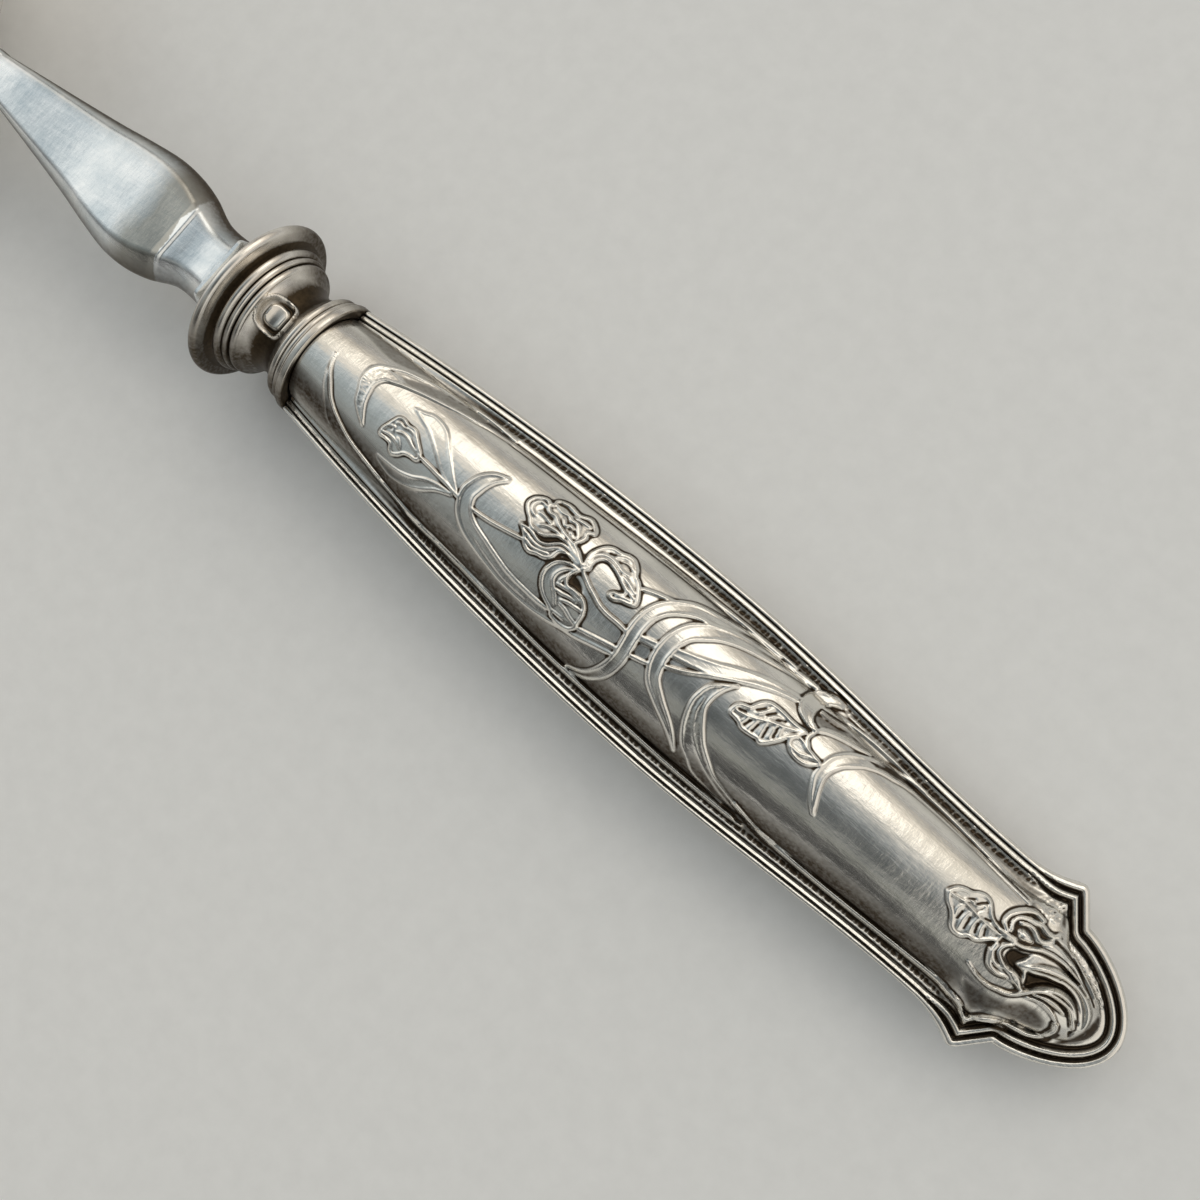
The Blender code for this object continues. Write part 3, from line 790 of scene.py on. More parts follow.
# Tendrils that run on as the inner threads of the border
NEAR_TENDRIL_UPPER = [
    (105, 12), (108, 3), (113, -5), (120, -13), (130, -24), (140, -31), (150, -36), (170, -44), (190, -49),
    (220, -55), (250, -60), (280, -64), (320, -67), (400, -75), (460, -80), (560, -84), (640, -86),
    (720, -85)
]
NEAR_TENDRIL_LOWER = [
    (108, 3), (112, -9), (117, -18), (125, -27), (140, -42), (160, -51), (180, -55), (205, -56)
]
HOOK_OUTER = [
    (172, -25), (160, -17), (152, -10), (147, 0), (142, 10), (142, 22), (147, 30), (155, 35), (170, 43),
    (190, 49), (210, 54), (230, 57), (250, 60), (270, 62), (300, 62)
]
HOOK_INNER = [
    (172, -25), (160, -8), (156, 5), (155, 14), (160, 23), (170, 28), (180, 32), (200, 38), (220, 43),
    (240, 48), (260, 52), (275, 55), (300, 58)
]
FAR_THREAD = [(300, 58), (330, 60), (400, 63), (460, 66), (510, 68), (600, 71), (660, 72)]

# Closed bud with its two leaves and its stem
BUD = [
    (190, -14), (193, -4), (196, 4), (201, 6), (208, 4), (216, 5), (224, -1), (236, -11), (236, -17),
    (228, -18), (222, -20), (218, -25), (213, -28), (209, -26), (205, -21), (198, -20), (191, -20)
]
BUD_FOLDS = [
    [(197, -2), (200, 1), (206, 0), (212, 2), (218, 1), (224, -4), (232, -9)],
    [(193, -9), (198, -5), (200, -11)],
    [(203, -8), (210, -5), (217, -6), (224, -9), (232, -11)],
    [(192, -17), (198, -15), (205, -15), (211, -17)],
    [(208, -12), (213, -16), (216, -20)],
]
BUD_STEM = [(234, -12), (250, -13), (270, -15), (293, -18), (310, -18), (330, -16), (350, -12), (367, -8)]
BUD_LEAF_UPPER = [
    (203, 22), (212, 24), (222, 28), (234, 27), (243, 23), (252, 14), (262, 5), (272, -4), (282, -12),
    (292, -18)
]
BUD_LEAF_LOWER = [(203, 22), (215, 18), (226, 14), (238, 7), (250, -1), (262, -9), (275, -14), (290, -18)]
SIDE_LEAF_UPPER = [(203, -38), (215, -38), (230, -37), (243, -33), (255, -26), (268, -22), (285, -20)]
SIDE_LEAF_LOWER = [(203, -40), (215, -44), (228, -46), (245, -43), (258, -36), (270, -27), (285, -21)]

# Ribbon that crosses the bud's stem and runs on under the flower
CROSSING = [
    (318, 27), (308, 20), (301, 10), (298, 0), (297, -8), (300, -17), (307, -26), (320, -34), (340, -40),
    (360, -45), (380, -49), (410, -51), (430, -50), (450, -47), (470, -44), (490, -39), (511, -34)
]
CROSSING_HALVES = (0.1, 0.55, 0.65, 0.65, 0.65, 0.65, 0.58, 0.5, 0.4, 0.35, 0.33)
RUN_MIDDLE = [(330, -37), (345, -42), (360, -46), (380, -50), (408, -51)]

# Iris
STANDARDS = [
    (360, 13), (353, 18), (349, 24), (351, 31), (357, 36), (363, 38), (370, 37), (371, 43), (376, 46),
    (384, 48), (392, 47), (398, 47), (407, 51), (413, 50), (419, 46), (420, 42), (414, 39), (416, 34),
    (414, 28), (411, 22), (420, 18), (430, 11), (418, 15), (408, 18), (400, 18), (393, 17), (387, 13),
    (380, 8), (372, 7), (365, 8)
]
STANDARD_FOLDS = [
    [(362, 18), (356, 21), (354, 27), (359, 33), (366, 33)],
    [(366, 36), (372, 30), (379, 31), (386, 27), (394, 24), (404, 22), (414, 20), (428, 12)],
    [(374, 40), (382, 38), (389, 40), (394, 38), (400, 39), (405, 36), (409, 28)],
    [(387, 35), (392, 30), (398, 33), (402, 27)],
    [(372, 14), (379, 18), (389, 20), (399, 20)],
    [(364, 24), (372, 24), (380, 22)],
    [(397, 43), (405, 44), (413, 45)],
]
LEFT_FALL = [
    (357, 3), (366, 4), (374, 3), (382, 1), (390, 4), (396, 10), (402, 14), (412, 14), (430, 9), (424, 8),
    (412, 10), (404, 6), (402, -3), (396, -8), (388, -10), (380, -13), (372, -10), (366, -3)
]
LEFT_FALL_FOLDS = [
    [(360, 1), (368, -1), (376, -3), (386, -3), (393, 0), (399, 6), (405, 10), (416, 10), (428, 8)],
    [(371, -6), (380, -8), (389, -6), (397, -3)],
]
NEAR_FALL = [
    (432, 5), (420, 4), (412, 0), (407, -6), (405, -14), (406, -22), (411, -30), (418, -36), (426, -40),
    (434, -43), (440, -48), (452, -49), (461, -47), (465, -42), (464, -35), (463, -27), (459, -20),
    (452, -15), (440, -14), (431, -14), (427, -6)
]
NEAR_FALL_FOLDS = [
    [(431, 3), (423, -1), (418, -7), (416, -14), (418, -20), (424, -26), (430, -31), (435, -37)],
    [(424, -19), (431, -18), (438, -17), (446, -18), (453, -19)],
    [(426, -25), (434, -24), (442, -22), (450, -22)],
    [(436, -30), (444, -27), (452, -26), (461, -25)],
    [(438, -33), (446, -34), (454, -37), (463, -39)],
    [(436, -43), (442, -43), (450, -43)],
    [(424, -16), (425, -10), (428, -3)],
]
FAR_FALL = [
    (434, 8), (431, 16), (430, 25), (433, 33), (438, 40), (445, 44), (453, 45), (461, 48), (468, 48),
    (475, 43), (479, 37), (486, 33), (491, 27), (496, 19), (496, 14), (490, 11), (483, 9), (476, 5),
    (470, 6), (472, 10), (478, 13), (482, 18), (472, 24), (460, 29), (449, 31), (441, 28), (437, 20),
    (438, 12)
]
FAR_FALL_FOLDS = [
    [(435, 12), (433, 21), (435, 28), (441, 33), (449, 35), (458, 34), (466, 32), (474, 33)],
    [(452, 39), (457, 43), (463, 45), (469, 44), (474, 39)],
    [(459, 39), (466, 41), (472, 39)],
    [(468, 29), (478, 27), (489, 23)],
    [(473, 24), (483, 21), (492, 18)],
    [(476, 9), (484, 13), (492, 15)],
]
STANDARD_SLOTS = [
    [(374, 43), (382, 44), (391, 43)],
    [(365, 29), (371, 27), (378, 26)],
    [(398, 30), (404, 31), (407, 29)],
]
NEAR_FALL_HOLLOW = [(428, -1), (436, -1), (445, -5), (449, -11), (440, -12), (431, -11)]
FAR_FALL_SLOTS = [
    [(458, 38), (466, 40), (472, 38)],
    [(444, 38), (450, 40)],
]
FLOWER_STEM = [(432, 8), (442, 3), (450, -1), (458, -4), (468, -8), (480, -10), (495, -10), (507, -11)]
FLOWER_LINE = [(490, 31), (505, 37), (518, 41), (530, 45)]

# Ribbons that wind across the handle
FIRST_RIBBON = [
    (485, -77), (503, -71), (514, -58), (518, -40), (516, -22), (513, -5), (513, 10), (516, 22), (523, 33),
    (535, 43), (550, 51), (575, 57), (605, 65), (640, 69)
]
FIRST_HALVES = (0.15, 0.5, 0.55, 0.55, 0.55, 0.5, 0.1)
SECOND_RIBBON = [
    (620, -71), (600, -56), (575, -42), (558, -30), (550, -14), (548, 2), (550, 16), (556, 29), (568, 40),
    (585, 50), (610, 58), (650, 65), (690, 70)
]
SECOND_HALVES = (0.05, 0.35, 0.6, 0.65, 0.65, 0.4, 0.1)
UPPER_STEM = [
    (506, -11), (522, -7), (540, -2), (560, 5), (580, 11), (600, 18), (620, 28), (640, 37), (660, 44),
    (685, 50)
]
UPPER_STEM_HALVES = (0.1, 0.2, 0.4, 0.55, 0.4, 0.15)
LOWER_STEM = [
    (511, -31), (525, -27), (545, -21), (560, -12), (575, -5), (590, 4), (605, 13), (620, 22), (640, 34),
    (660, 42), (680, 47)
]
THIRD_LEFT = [
    (627, 20), (612, 8), (605, 0), (602, -12), (602, -22), (606, -35), (612, -47), (622, -60), (635, -68),
    (650, -76), (690, -80)
]
THIRD_RIGHT = [
    (627, 20), (619, 8), (615, -6), (616, -18), (622, -28), (630, -38), (640, -48), (655, -58), (668, -65),
    (685, -69), (700, -72)
]
THIRD_MIDDLE = [(609, -10), (611, -26), (620, -41), (635, -54), (655, -65), (680, -73), (705, -77)]
THIRD_RUN = [
    (700, -72), (740, -77), (800, -78), (860, -77), (960, -74), (985, -76), (1000, -78), (1012, -85),
    (1018, -90)
]

# Toothed leaf, curl and small bud
TOOTHED_LEAF = [
    (638, 2), (640, 7), (646, 10), (651, 12), (654, 18), (658, 24), (664, 28), (671, 29), (680, 29),
    (690, 28), (700, 28), (709, 29), (703, 20), (699, 15), (695, 8), (690, 1), (684, -6), (679, -9),
    (676, -7), (670, -8), (662, -9), (656, -9), (650, -6), (644, -5), (638, -4)
]
TOOTHED_VEINS = [
    [(641, 1), (652, 3), (660, 6), (668, 10), (676, 14), (684, 17), (692, 20), (706, 27)],
    [(660, 12), (666, 20), (669, 26)],
    [(670, 14), (676, 21), (684, 23)],
    [(655, 3), (653, -4)],
    [(664, 5), (662, -6)],
    [(673, 10), (675, -4)],
    [(682, 14), (684, 0)],
    [(688, 17), (690, 8)],
]
TOOTHED_SLOTS = [
    [(643, 3), (650, 6)],
    [(657, 14), (663, 21)],
    [(668, 17), (674, 24)],
    [(679, 20), (687, 24)],
    [(659, 2), (657, -5)],
    [(668, 4), (667, -5)],
    [(677, 8), (679, -3)],
    [(685, 13), (687, 4)],
]
CURL_OUTER = [
    (722, 74), (712, 75), (703, 73), (695, 70), (689, 63), (686, 55), (687, 48), (691, 42), (700, 38),
    (710, 36), (717, 37)
]
CURL_INNER = [(722, 72), (714, 68), (706, 62), (702, 55), (702, 47), (706, 41), (712, 39), (717, 37)]
CURL_FOLD = [(690, 48), (697, 53), (701, 60)]
CURL_THREADS = [
    [(704, 58), (712, 60), (725, 62), (745, 64), (770, 65), (800, 64), (840, 62)],
    [(722, 74), (730, 72), (745, 70), (770, 69), (800, 68)],
    [(708, 55), (718, 55), (730, 57), (738, 59)],
]
CURL_HOLLOW = [
    (707, 57), (705, 50), (709, 43), (718, 42), (730, 47), (745, 51), (765, 56), (745, 59), (725, 58)
]
CURL_STEM = [(716, 37), (724, 42), (735, 46), (748, 49), (760, 51), (772, 54)]
SMALL_BUD = [
    (701, 12), (703, 18), (708, 21), (714, 20), (720, 17), (730, 16), (740, 14), (737, 10), (730, 5),
    (722, 3), (712, 4), (706, 7)
]
SMALL_BUD_FOLDS = [
    [(706, 9), (714, 8), (720, 9), (726, 12), (736, 14)],
]
SMALL_BUD_STEM = [(717, 37), (714, 31), (714, 25), (718, 21), (724, 17), (736, 15)]
FOURTH_OUTER = [
    (767, -29), (757, -20), (748, -7), (743, 3), (743, 13), (745, 25), (750, 33), (758, 41), (770, 48),
    (785, 54), (800, 57), (830, 60), (900, 56), (990, 48)
]
FOURTH_INNER = [
    (767, -29), (757, -10), (752, 5), (753, 15), (758, 25), (765, 32), (778, 42), (790, 47), (805, 50),
    (830, 53), (900, 51), (990, 44)
]

# Terminal
END_LEAF = [
    (920, 1), (925, 9), (932, 13), (940, 15), (946, 19), (952, 21), (958, 20), (963, 16), (968, 11),
    (975, 7), (988, 4), (989, -4), (984, -8), (978, -14), (971, -19), (964, -20), (958, -25), (950, -26),
    (944, -23), (940, -17), (934, -11), (926, -6)
]
END_LEAF_VEINS = [
    [(923, 1), (940, 3), (958, 1), (975, 0), (990, 1)],
    [(938, 4), (943, 9), (952, 8), (957, 14)],
    [(958, 3), (961, 9), (958, 15)],
    [(940, 0), (938, -7), (941, -13)],
    [(950, -1), (949, -10), (951, -21)],
    [(960, -1), (960, -10), (962, -17)],
    [(968, -2), (969, -9), (972, -14)],
]
END_SCROLLS = [
    [(990, 9), (983, 14), (982, 22), (986, 30), (993, 37), (1001, 41), (1012, 40)],
    [
        (993, 12), (989, 20), (991, 27), (998, 31), (1006, 33), (1014, 35), (1022, 33), (1030, 34),
        (1034, 38)
    ],
    [(996, 24), (1004, 27), (1012, 26), (1020, 22), (1027, 24), (1032, 30)],
    [(984, 5), (994, 6), (1003, 7)],
]
END_BALL = [(998, 16), (1001, 21), (1008, 22), (1016, 19), (1019, 15), (1012, 11), (1004, 10)]
END_LEAF_SLOTS = [
    [(940, 8), (946, 12)],
    [(950, 8), (953, 13), (958, 17)],
    [(944, -5), (944, -14)],
    [(954, -5), (956, -18)],
    [(964, -5), (967, -14)],
    [(973, -4), (976, -10)],
    [(966, 4), (972, 5)],
]
END_HOOKS = [
    [(1003, 1), (998, -4), (997, -12), (1003, -17), (1010, -20), (1020, -22), (1030, -25), (1040, -28)],
    [(991, -8), (992, -16), (997, -22), (1003, -24), (1010, -23)],
    [(990, -16), (993, -22), (998, -28), (1004, -30), (1011, -30), (1019, -27)],
    [(1020, -20), (1028, -21), (1036, -25)],
]
END_HOOK_BODY = [
    (1000, 3), (996, -8), (1000, -18), (1012, -22), (1037, -27), (1022, -29), (1008, -30), (998, -27),
    (991, -15), (992, -3)
]
EAR_GROUND = [(992, 50), (1000, 60), (1010, 68), (1019, 72), (1026, 66), (1030, 54), (1024, 44), (1003, 44)]
EAR_EYE = [(1006, 57), (1010, 61), (1016, 59), (1017, 55), (1012, 52), (1007, 53)]
END_GROUND = [
    (1036, 38), (1050, 40), (1070, 39), (1090, 35), (1105, 26), (1116, 12), (1110, 9), (1100, 15),
    (1088, 22), (1075, 28), (1060, 33), (1045, 35)
]
END_HOLLOWS = [
    [
        (1008, 1), (1018, 4), (1027, 9), (1025, -2), (1021, -10), (1030, -12), (1036, -18), (1040, -27),
        (1028, -20), (1014, -18), (1005, -13), (1004, -5)
    ],
    [
        (1030, -9), (1040, -6), (1050, -1), (1060, 2), (1070, 5), (1082, 4), (1092, 0), (1100, -6),
        (1106, -14), (1109, -26), (1107, -36), (1102, -30), (1103, -22), (1097, -13), (1090, -7),
        (1080, -3), (1070, -4), (1062, -8), (1054, -14), (1047, -22), (1040, -27), (1036, -18)
    ],
]
BROAD_LEAF = [
    (1021, -11), (1030, -4), (1036, 3), (1045, 9), (1055, 13), (1066, 15), (1080, 14), (1092, 11),
    (1102, 7), (1110, 0), (1114, -10), (1113, -22), (1108, -12), (1100, -3), (1092, 3), (1084, 6),
    (1075, 7), (1065, 6), (1055, 3), (1045, -1), (1034, -6)
]
LEAF_RIM = [
    (992, 3), (1000, 4), (1008, 5), (1015, 7), (1022, 11), (1030, 16), (1040, 19), (1050, 20), (1060, 20),
    (1070, 18), (1082, 15), (1095, 11)
]
LEAF_PARTINGS = [
    [(1012, 2), (1020, 6), (1030, 12), (1040, 15), (1050, 17), (1060, 17), (1070, 16), (1080, 15)],
    [(1034, 32), (1050, 31), (1060, 29), (1070, 26), (1080, 21), (1090, 16), (1100, 11), (1107, 7)],
]
OUTER_LEAF = [
    (1024, 17), (1030, 27), (1038, 31), (1050, 30), (1060, 28), (1070, 25), (1080, 20), (1090, 15),
    (1100, 11), (1108, 6), (1098, 10), (1085, 15), (1070, 20), (1060, 22), (1050, 22), (1040, 21),
    (1032, 19)
]
OUTER_RIM = [(1034, 35), (1050, 34), (1060, 32), (1070, 28), (1080, 24), (1090, 20), (1102, 14)]
WAVES = [
    [
        (980, -40), (990, -43), (1000, -45), (1012, -45), (1022, -42), (1031, -39), (1038, -34),
        (1043, -28), (1048, -22), (1053, -17), (1060, -13), (1068, -11), (1076, -10), (1084, -10),
        (1091, -12), (1097, -17), (1103, -23)
    ],
    [(1050, -19), (1056, -13), (1062, -9), (1070, -6), (1078, -5), (1085, -6), (1092, -9), (1099, -14)],
    [(1052, -23), (1058, -20), (1064, -18), (1072, -17), (1080, -17), (1087, -18)],
]
LOW_WAVE = [(1048, -30), (1056, -26), (1064, -24), (1072, -24), (1080, -26), (1086, -29)]
END_FLOOR = [
    (985, -50), (1005, -49), (1022, -46), (1036, -40), (1046, -32), (1056, -29), (1068, -28), (1080, -31),
    (1085, -37), (1085, -44), (1078, -50), (1066, -55), (1050, -60), (1036, -65), (1024, -72), (1012, -80),
    (998, -74), (985, -62)
]
END_SHADE = [
    (1112, 8), (1120, 4), (1126, -6), (1127, -18), (1122, -30), (1112, -42), (1100, -53), (1097, -46),
    (1104, -36), (1110, -24), (1113, -10)
]
EAR_SHADE = [(1018, 67), (1026, 63), (1034, 53), (1037, 46), (1028, 46), (1022, 54)]
NEAR_SCROLL = [
    (1016, -86), (1020, -80), (1028, -74), (1038, -68), (1050, -63), (1060, -60), (1070, -58), (1078, -54),
    (1084, -49), (1088, -43), (1090, -37), (1088, -32)
]
NEAR_SCROLL_SHADE = [
    (1020, -87), (1030, -80), (1040, -75), (1052, -70), (1064, -66), (1076, -62), (1086, -56), (1093, -48),
    (1097, -38)
]

# Strips between the tendrils and the border's inner thread, sunk a little and darkened with painted shade
# under the border and tarnish
FAR_STRIP = [
    (165, 37), (180, 43), (200, 50), (230, 57), (262, 61), (300, 62), (300, 58), (275, 55), (240, 48),
    (200, 38), (180, 33)
]
CURL_STRIP = [(604, 66), (640, 68), (680, 69), (655, 66), (630, 62), (608, 57)]
OUTER_SHADE_STRIP = [
    (800, 67), (850, 65), (900, 63), (950, 61), (985, 61), (1002, 63), (988, 50), (950, 54), (900, 58),
    (850, 61), (800, 61)
]
START_SHADE_STRIP = [
    (96, 54), (96, 45), (120, 43), (150, 41), (172, 46), (205, 55), (240, 60), (240, 63), (160, 58)
]
END_STRIP = [
    (775, 53), (800, 59), (850, 60), (920, 55), (985, 47), (985, 45), (920, 52), (850, 54), (800, 51)
]


def ornament(relief):
    """All the raised ornament of one shell."""
    # Painted shade, with tarnish, in the sunk strips under the border's inner thread
    strips = ((FAR_STRIP, 0.42), (CURL_STRIP, 0.6), (END_STRIP, 0.7), (OUTER_SHADE_STRIP, 0.5), (START_SHADE_STRIP, 0.45))
    for outline, stain in strips:
        relief.sink(outline, 0.08, 0.3, stain)
    relief.band(NEAR_TENDRIL_UPPER[:9], NEAR_TENDRIL_LOWER, edge=0.18)
    relief.wire(NEAR_TENDRIL_UPPER[:6], (0.08, 0.18, 0.26), 0.4)
    relief.wire(NEAR_TENDRIL_UPPER[5:], (0.26, 0.28, 0.2), 0.46)
    relief.wire(HOOK_OUTER, (0.16, 0.22, 0.2), 0.24)
    relief.wire(HOOK_INNER, (0.16, 0.24, 0.22), 0.28)
    relief.pillow(HOOK_OUTER[:8] + HOOK_INNER[6::-1], 0.12, 0.15, 0.12)
    relief.ledge(NEAR_TENDRIL_UPPER[9:], 0.2, -1.25, 0.52)
    relief.wire(FAR_THREAD, 0.27, 0.36)
    relief.band(BUD_LEAF_UPPER, BUD_LEAF_LOWER, edge=0.18, half=0.2)
    relief.band(SIDE_LEAF_UPPER, SIDE_LEAF_LOWER, edge=0.22)
    relief.wire(BUD_STEM, (0.24, 0.24, 0.22), 0.28)
    relief.spray(BUD, BUD_FOLDS, half=0.19)
    relief.ribbon(CROSSING, CROSSING_HALVES, floor=0.1)
    relief.wire(RUN_MIDDLE, (0.12, 0.18, 0.12), 0.2)
    relief.wire(FLOWER_LINE, 0.22, 0.25)
    relief.ribbon(UPPER_STEM, UPPER_STEM_HALVES, edge=0.2)
    relief.wire(LOWER_STEM, 0.22, 0.25)
    relief.wire(FLOWER_STEM, 0.26, 0.32)
    relief.ribbon(FIRST_RIBBON, FIRST_HALVES, edge=0.32)
    relief.ribbon(SECOND_RIBBON, SECOND_HALVES, edge=0.3)
    relief.band(THIRD_LEFT, THIRD_RIGHT, floor=0.1, edge=0.3, grain=0.08)
    relief.wire(THIRD_MIDDLE, (0.14, 0.2, 0.16), 0.26)
    relief.wire(THIRD_RUN, 0.28, 0.46)
    relief.ledge(THIRD_RUN, 0.2, -1.25, 0.52)
    relief.spray(LEFT_FALL, LEFT_FALL_FOLDS, body=0.18, half=0.2, height=0.42)
    relief.spray(NEAR_FALL, NEAR_FALL_FOLDS, body=0.2, half=0.21, height=0.46)
    relief.sink(NEAR_FALL_HOLLOW, 0.16, soft=0.25)
    relief.spray(FAR_FALL, FAR_FALL_FOLDS, FAR_FALL_SLOTS, body=0.18, half=0.2, height=0.42)
    relief.spray(STANDARDS, STANDARD_FOLDS, STANDARD_SLOTS, body=0.18, half=0.21, height=0.46)
    relief.spray(TOOTHED_LEAF, TOOTHED_VEINS, TOOTHED_SLOTS, half=0.2)
    relief.sink(CURL_HOLLOW, 0.15, 0.3, 0.45)
    relief.clear(CURL_OUTER + CURL_INNER[::-1])
    relief.band(CURL_OUTER, CURL_INNER, floor=0.24, edge=0.5, half=0.27)
    relief.wire(CURL_FOLD, 0.18, 0.24)
    for line in CURL_THREADS:
        relief.wire(line, (0.22, 0.24, 0.18), 0.26)
    relief.wire(CURL_STEM, (0.3, 0.28, 0.22), 0.3)
    relief.spray(SMALL_BUD, SMALL_BUD_FOLDS, half=0.19)
    relief.wire(SMALL_BUD_STEM, 0.22, 0.3)
    relief.band(FOURTH_OUTER[:9], FOURTH_INNER[:8], floor=0.1, edge=0.26)
    relief.wire(FOURTH_OUTER[7:], (0.22, 0.22, 0.18), 0.24)
    relief.wire(FOURTH_INNER[6:], (0.22, 0.24, 0.2), 0.28)
    terminal_ornament(relief)


def terminal_ornament(relief):
    """Leaf, scrolls and waves that close the handle's end."""
    relief.pillow(EAR_GROUND, 0.2, 0.6, 0.5)
    relief.pillow(EAR_EYE, 0.6, 0.5)
    relief.pillow(END_GROUND, 0.08, 0.25, 0.5)
    relief.sink(END_FLOOR, 0.12, 0.8, 0.54)
    relief.sink(END_SHADE, 0.1, 0.5, 0.65)
    relief.sink(EAR_SHADE, 0.1, 0.4, 0.6)
    for outline in END_HOLLOWS:
        relief.sink(outline, 0.45, 0.35)
    relief.pillow(OUTER_LEAF, 0.4, 0.45)
    relief.pillow(BROAD_LEAF, 0.55, 0.6)
    relief.wire(LEAF_RIM, (0.3, 0.3, 0.22), 0.44)
    relief.wire(OUTER_RIM, 0.18, 0.3)
    for line in LEAF_PARTINGS:
        relief.groove(line, 0.17, 0.2)
    relief.spray(END_LEAF, END_LEAF_VEINS, END_LEAF_SLOTS, half=0.21)
    for line in END_SCROLLS:
        relief.wire(line, (0.3, 0.38, 0.3), 0.46)
    relief.pillow(END_BALL, 0.5, 0.5)
    relief.pillow(END_HOOK_BODY, 0.2, 0.25)
    for line in END_HOOKS:
        relief.wire(line, (0.32, 0.36, 0.18), 0.46)
    relief.wire(WAVES[0], (0.07, 0.36, 0.3), 0.6)
    for line in WAVES[1:]:
        relief.wire(line, (0.14, 0.42, 0.24), 0.6)
    relief.wire(LOW_WAVE, (0.14, 0.34, 0.2), 0.36)
    relief.groove(NEAR_SCROLL_SHADE, 0.32, 0.25)
    relief.wire(NEAR_SCROLL, (0.4, 0.48, 0.4), 0.75)
    relief.ledge(NEAR_SCROLL[:-2], 0.36, 0.45, 0.0, 0.6)


def shell_rows(grid):
    side_step, ear_step, end_steps = grid[:3]
    side = np.arange(SHELL_START, EARS_FROM_X, side_step)
    ears = np.arange(EARS_FROM_X, NOTCH_X - 0.5 * ear_step, ear_step)
    end, _ = terminal_points(end_steps)
    return np.concatenate([side, ears, end])


def shell_columns(rows_x, grid):
    """Places across each row, close together in the border and even over the field."""
    border_columns, field_columns = grid[3:]
    wide = half_width(rows_x)
    border = np.minimum(BORDER_WIDTH + BORDER_MARGIN, BORDER_MOST_SHARE * wide)
    near = -wide[:, None] + border[:, None] * np.linspace(0.0, 1.0, border_columns + 1)[None, :]
    field = (wide - border)[:, None] * np.linspace(-1.0, 1.0, field_columns + 1)[None, 1:-1]
    return np.hstack([near, field, -near[:, ::-1]])


def thread_section(offset, half, near):
    """Height of a border thread: flat-topped on the far side, and turned up to the light on the near side."""
    share = np.clip(offset / half, -1.0, 1.0)
    flat = THREAD_RISE * (1 - share ** 4)
    inward = (1 - share) / (1 - SLANT_CREST)
    outward = (1 + share) / (1 + SLANT_CREST)
    slant = np.where(share > SLANT_CREST, inward, outward)
    return flat + (SLANT_RISE * slant - flat) * near


def border_height(inset, x, y, cover):
    """Height of the border at a distance in from the outline, and how dark its lines and channel are; the
    darkness also holds the band of tarnish and painted shade along the field's edge, with more painted shade
    on the near side.
    """
    height = EDGE_HEIGHT + BORDER_SLOPE * np.minimum(inset, border_width(x))
    height = height - EDGE_DROP * np.clip(1 - inset / EDGE_ROUNDING, 0.0, 1.0) ** 2
    ended = np.clip((x - CHANNEL_ENDS_X) / (CHANNEL_GONE_X - CHANNEL_ENDS_X), 0.0, 1.0)
    sides = 1 - hermite(0.0, 1.0, 0.0, 0.0, 1.0, ended)
    dark = np.zeros_like(height)
    spread = 1 + END_SPREAD * (1 - sides)
    near = np.clip(0.5 - y / SLANT_BLEND, 0.0, 1.0)
    for place, half in THREADS:
        height = height + thread_section(inset / spread - place, half, near)
    for place, half, depth in THREAD_LINES:
        line = ridge(inset / spread - place, half * (1 + END_LINE_WIDER * (1 - sides)))
        height = height - (depth + END_LINE_DEPTH * (1 - sides)) * line
        dark = np.maximum(dark, LINE_STAIN * line)
    begun = np.clip((x - CHANNEL_FROM_X) / (CHANNEL_FULL_X - CHANNEL_FROM_X), 0.0, 1.0)
    channel = sides * begun * (1 - cover) * ridge(inset - CHANNEL_MIDDLE, CHANNEL_HALF)
    wander = sum(reach * np.sin(wave * x) for reach, wave in BAR_WANDER)
    place = np.mod(x + BAR_SLANT * inset + wander, BAR_PITCH) - BAR_PITCH / 2
    uneven = BAR_STRENGTH + BAR_UNEVEN * np.sin(BAR_WAVES[0] * x) * np.sin(BAR_WAVES[1] * x)
    bar = np.where((x > BARS_FROM_X) & (x < CHANNEL_GONE_X), uneven * ridge(place, BAR_HALF), 0.0)
    dark = np.maximum(dark, channel * (CHANNEL_STAIN - BAR_CLEAN * bar))
    # Dark band along the field's edge: partly tarnish, partly painted shade for a darker reflection there
    dark = np.maximum(dark, (1 - cover) * EDGE_HAZE_AND_SHADE * ridge(inset - EDGE_HAZE_AND_SHADE_PLACE, EDGE_HAZE_AND_SHADE_WIDTH))
    # Painted shade along the field's edge on the near side
    near = np.clip(-y / NEAR_SHADE_BLEND, 0.0, 1.0) * (1 - cover)
    near_shade = NEAR_PAINTED_SHADE * np.sqrt(ridge(inset - NEAR_SHADE_PLACE, NEAR_SHADE_WIDTH))
    dark = np.maximum(dark, near * sides * near_shade)
    return height - channel * (CHANNEL_DEPTH - BAR_RISE * bar), dark


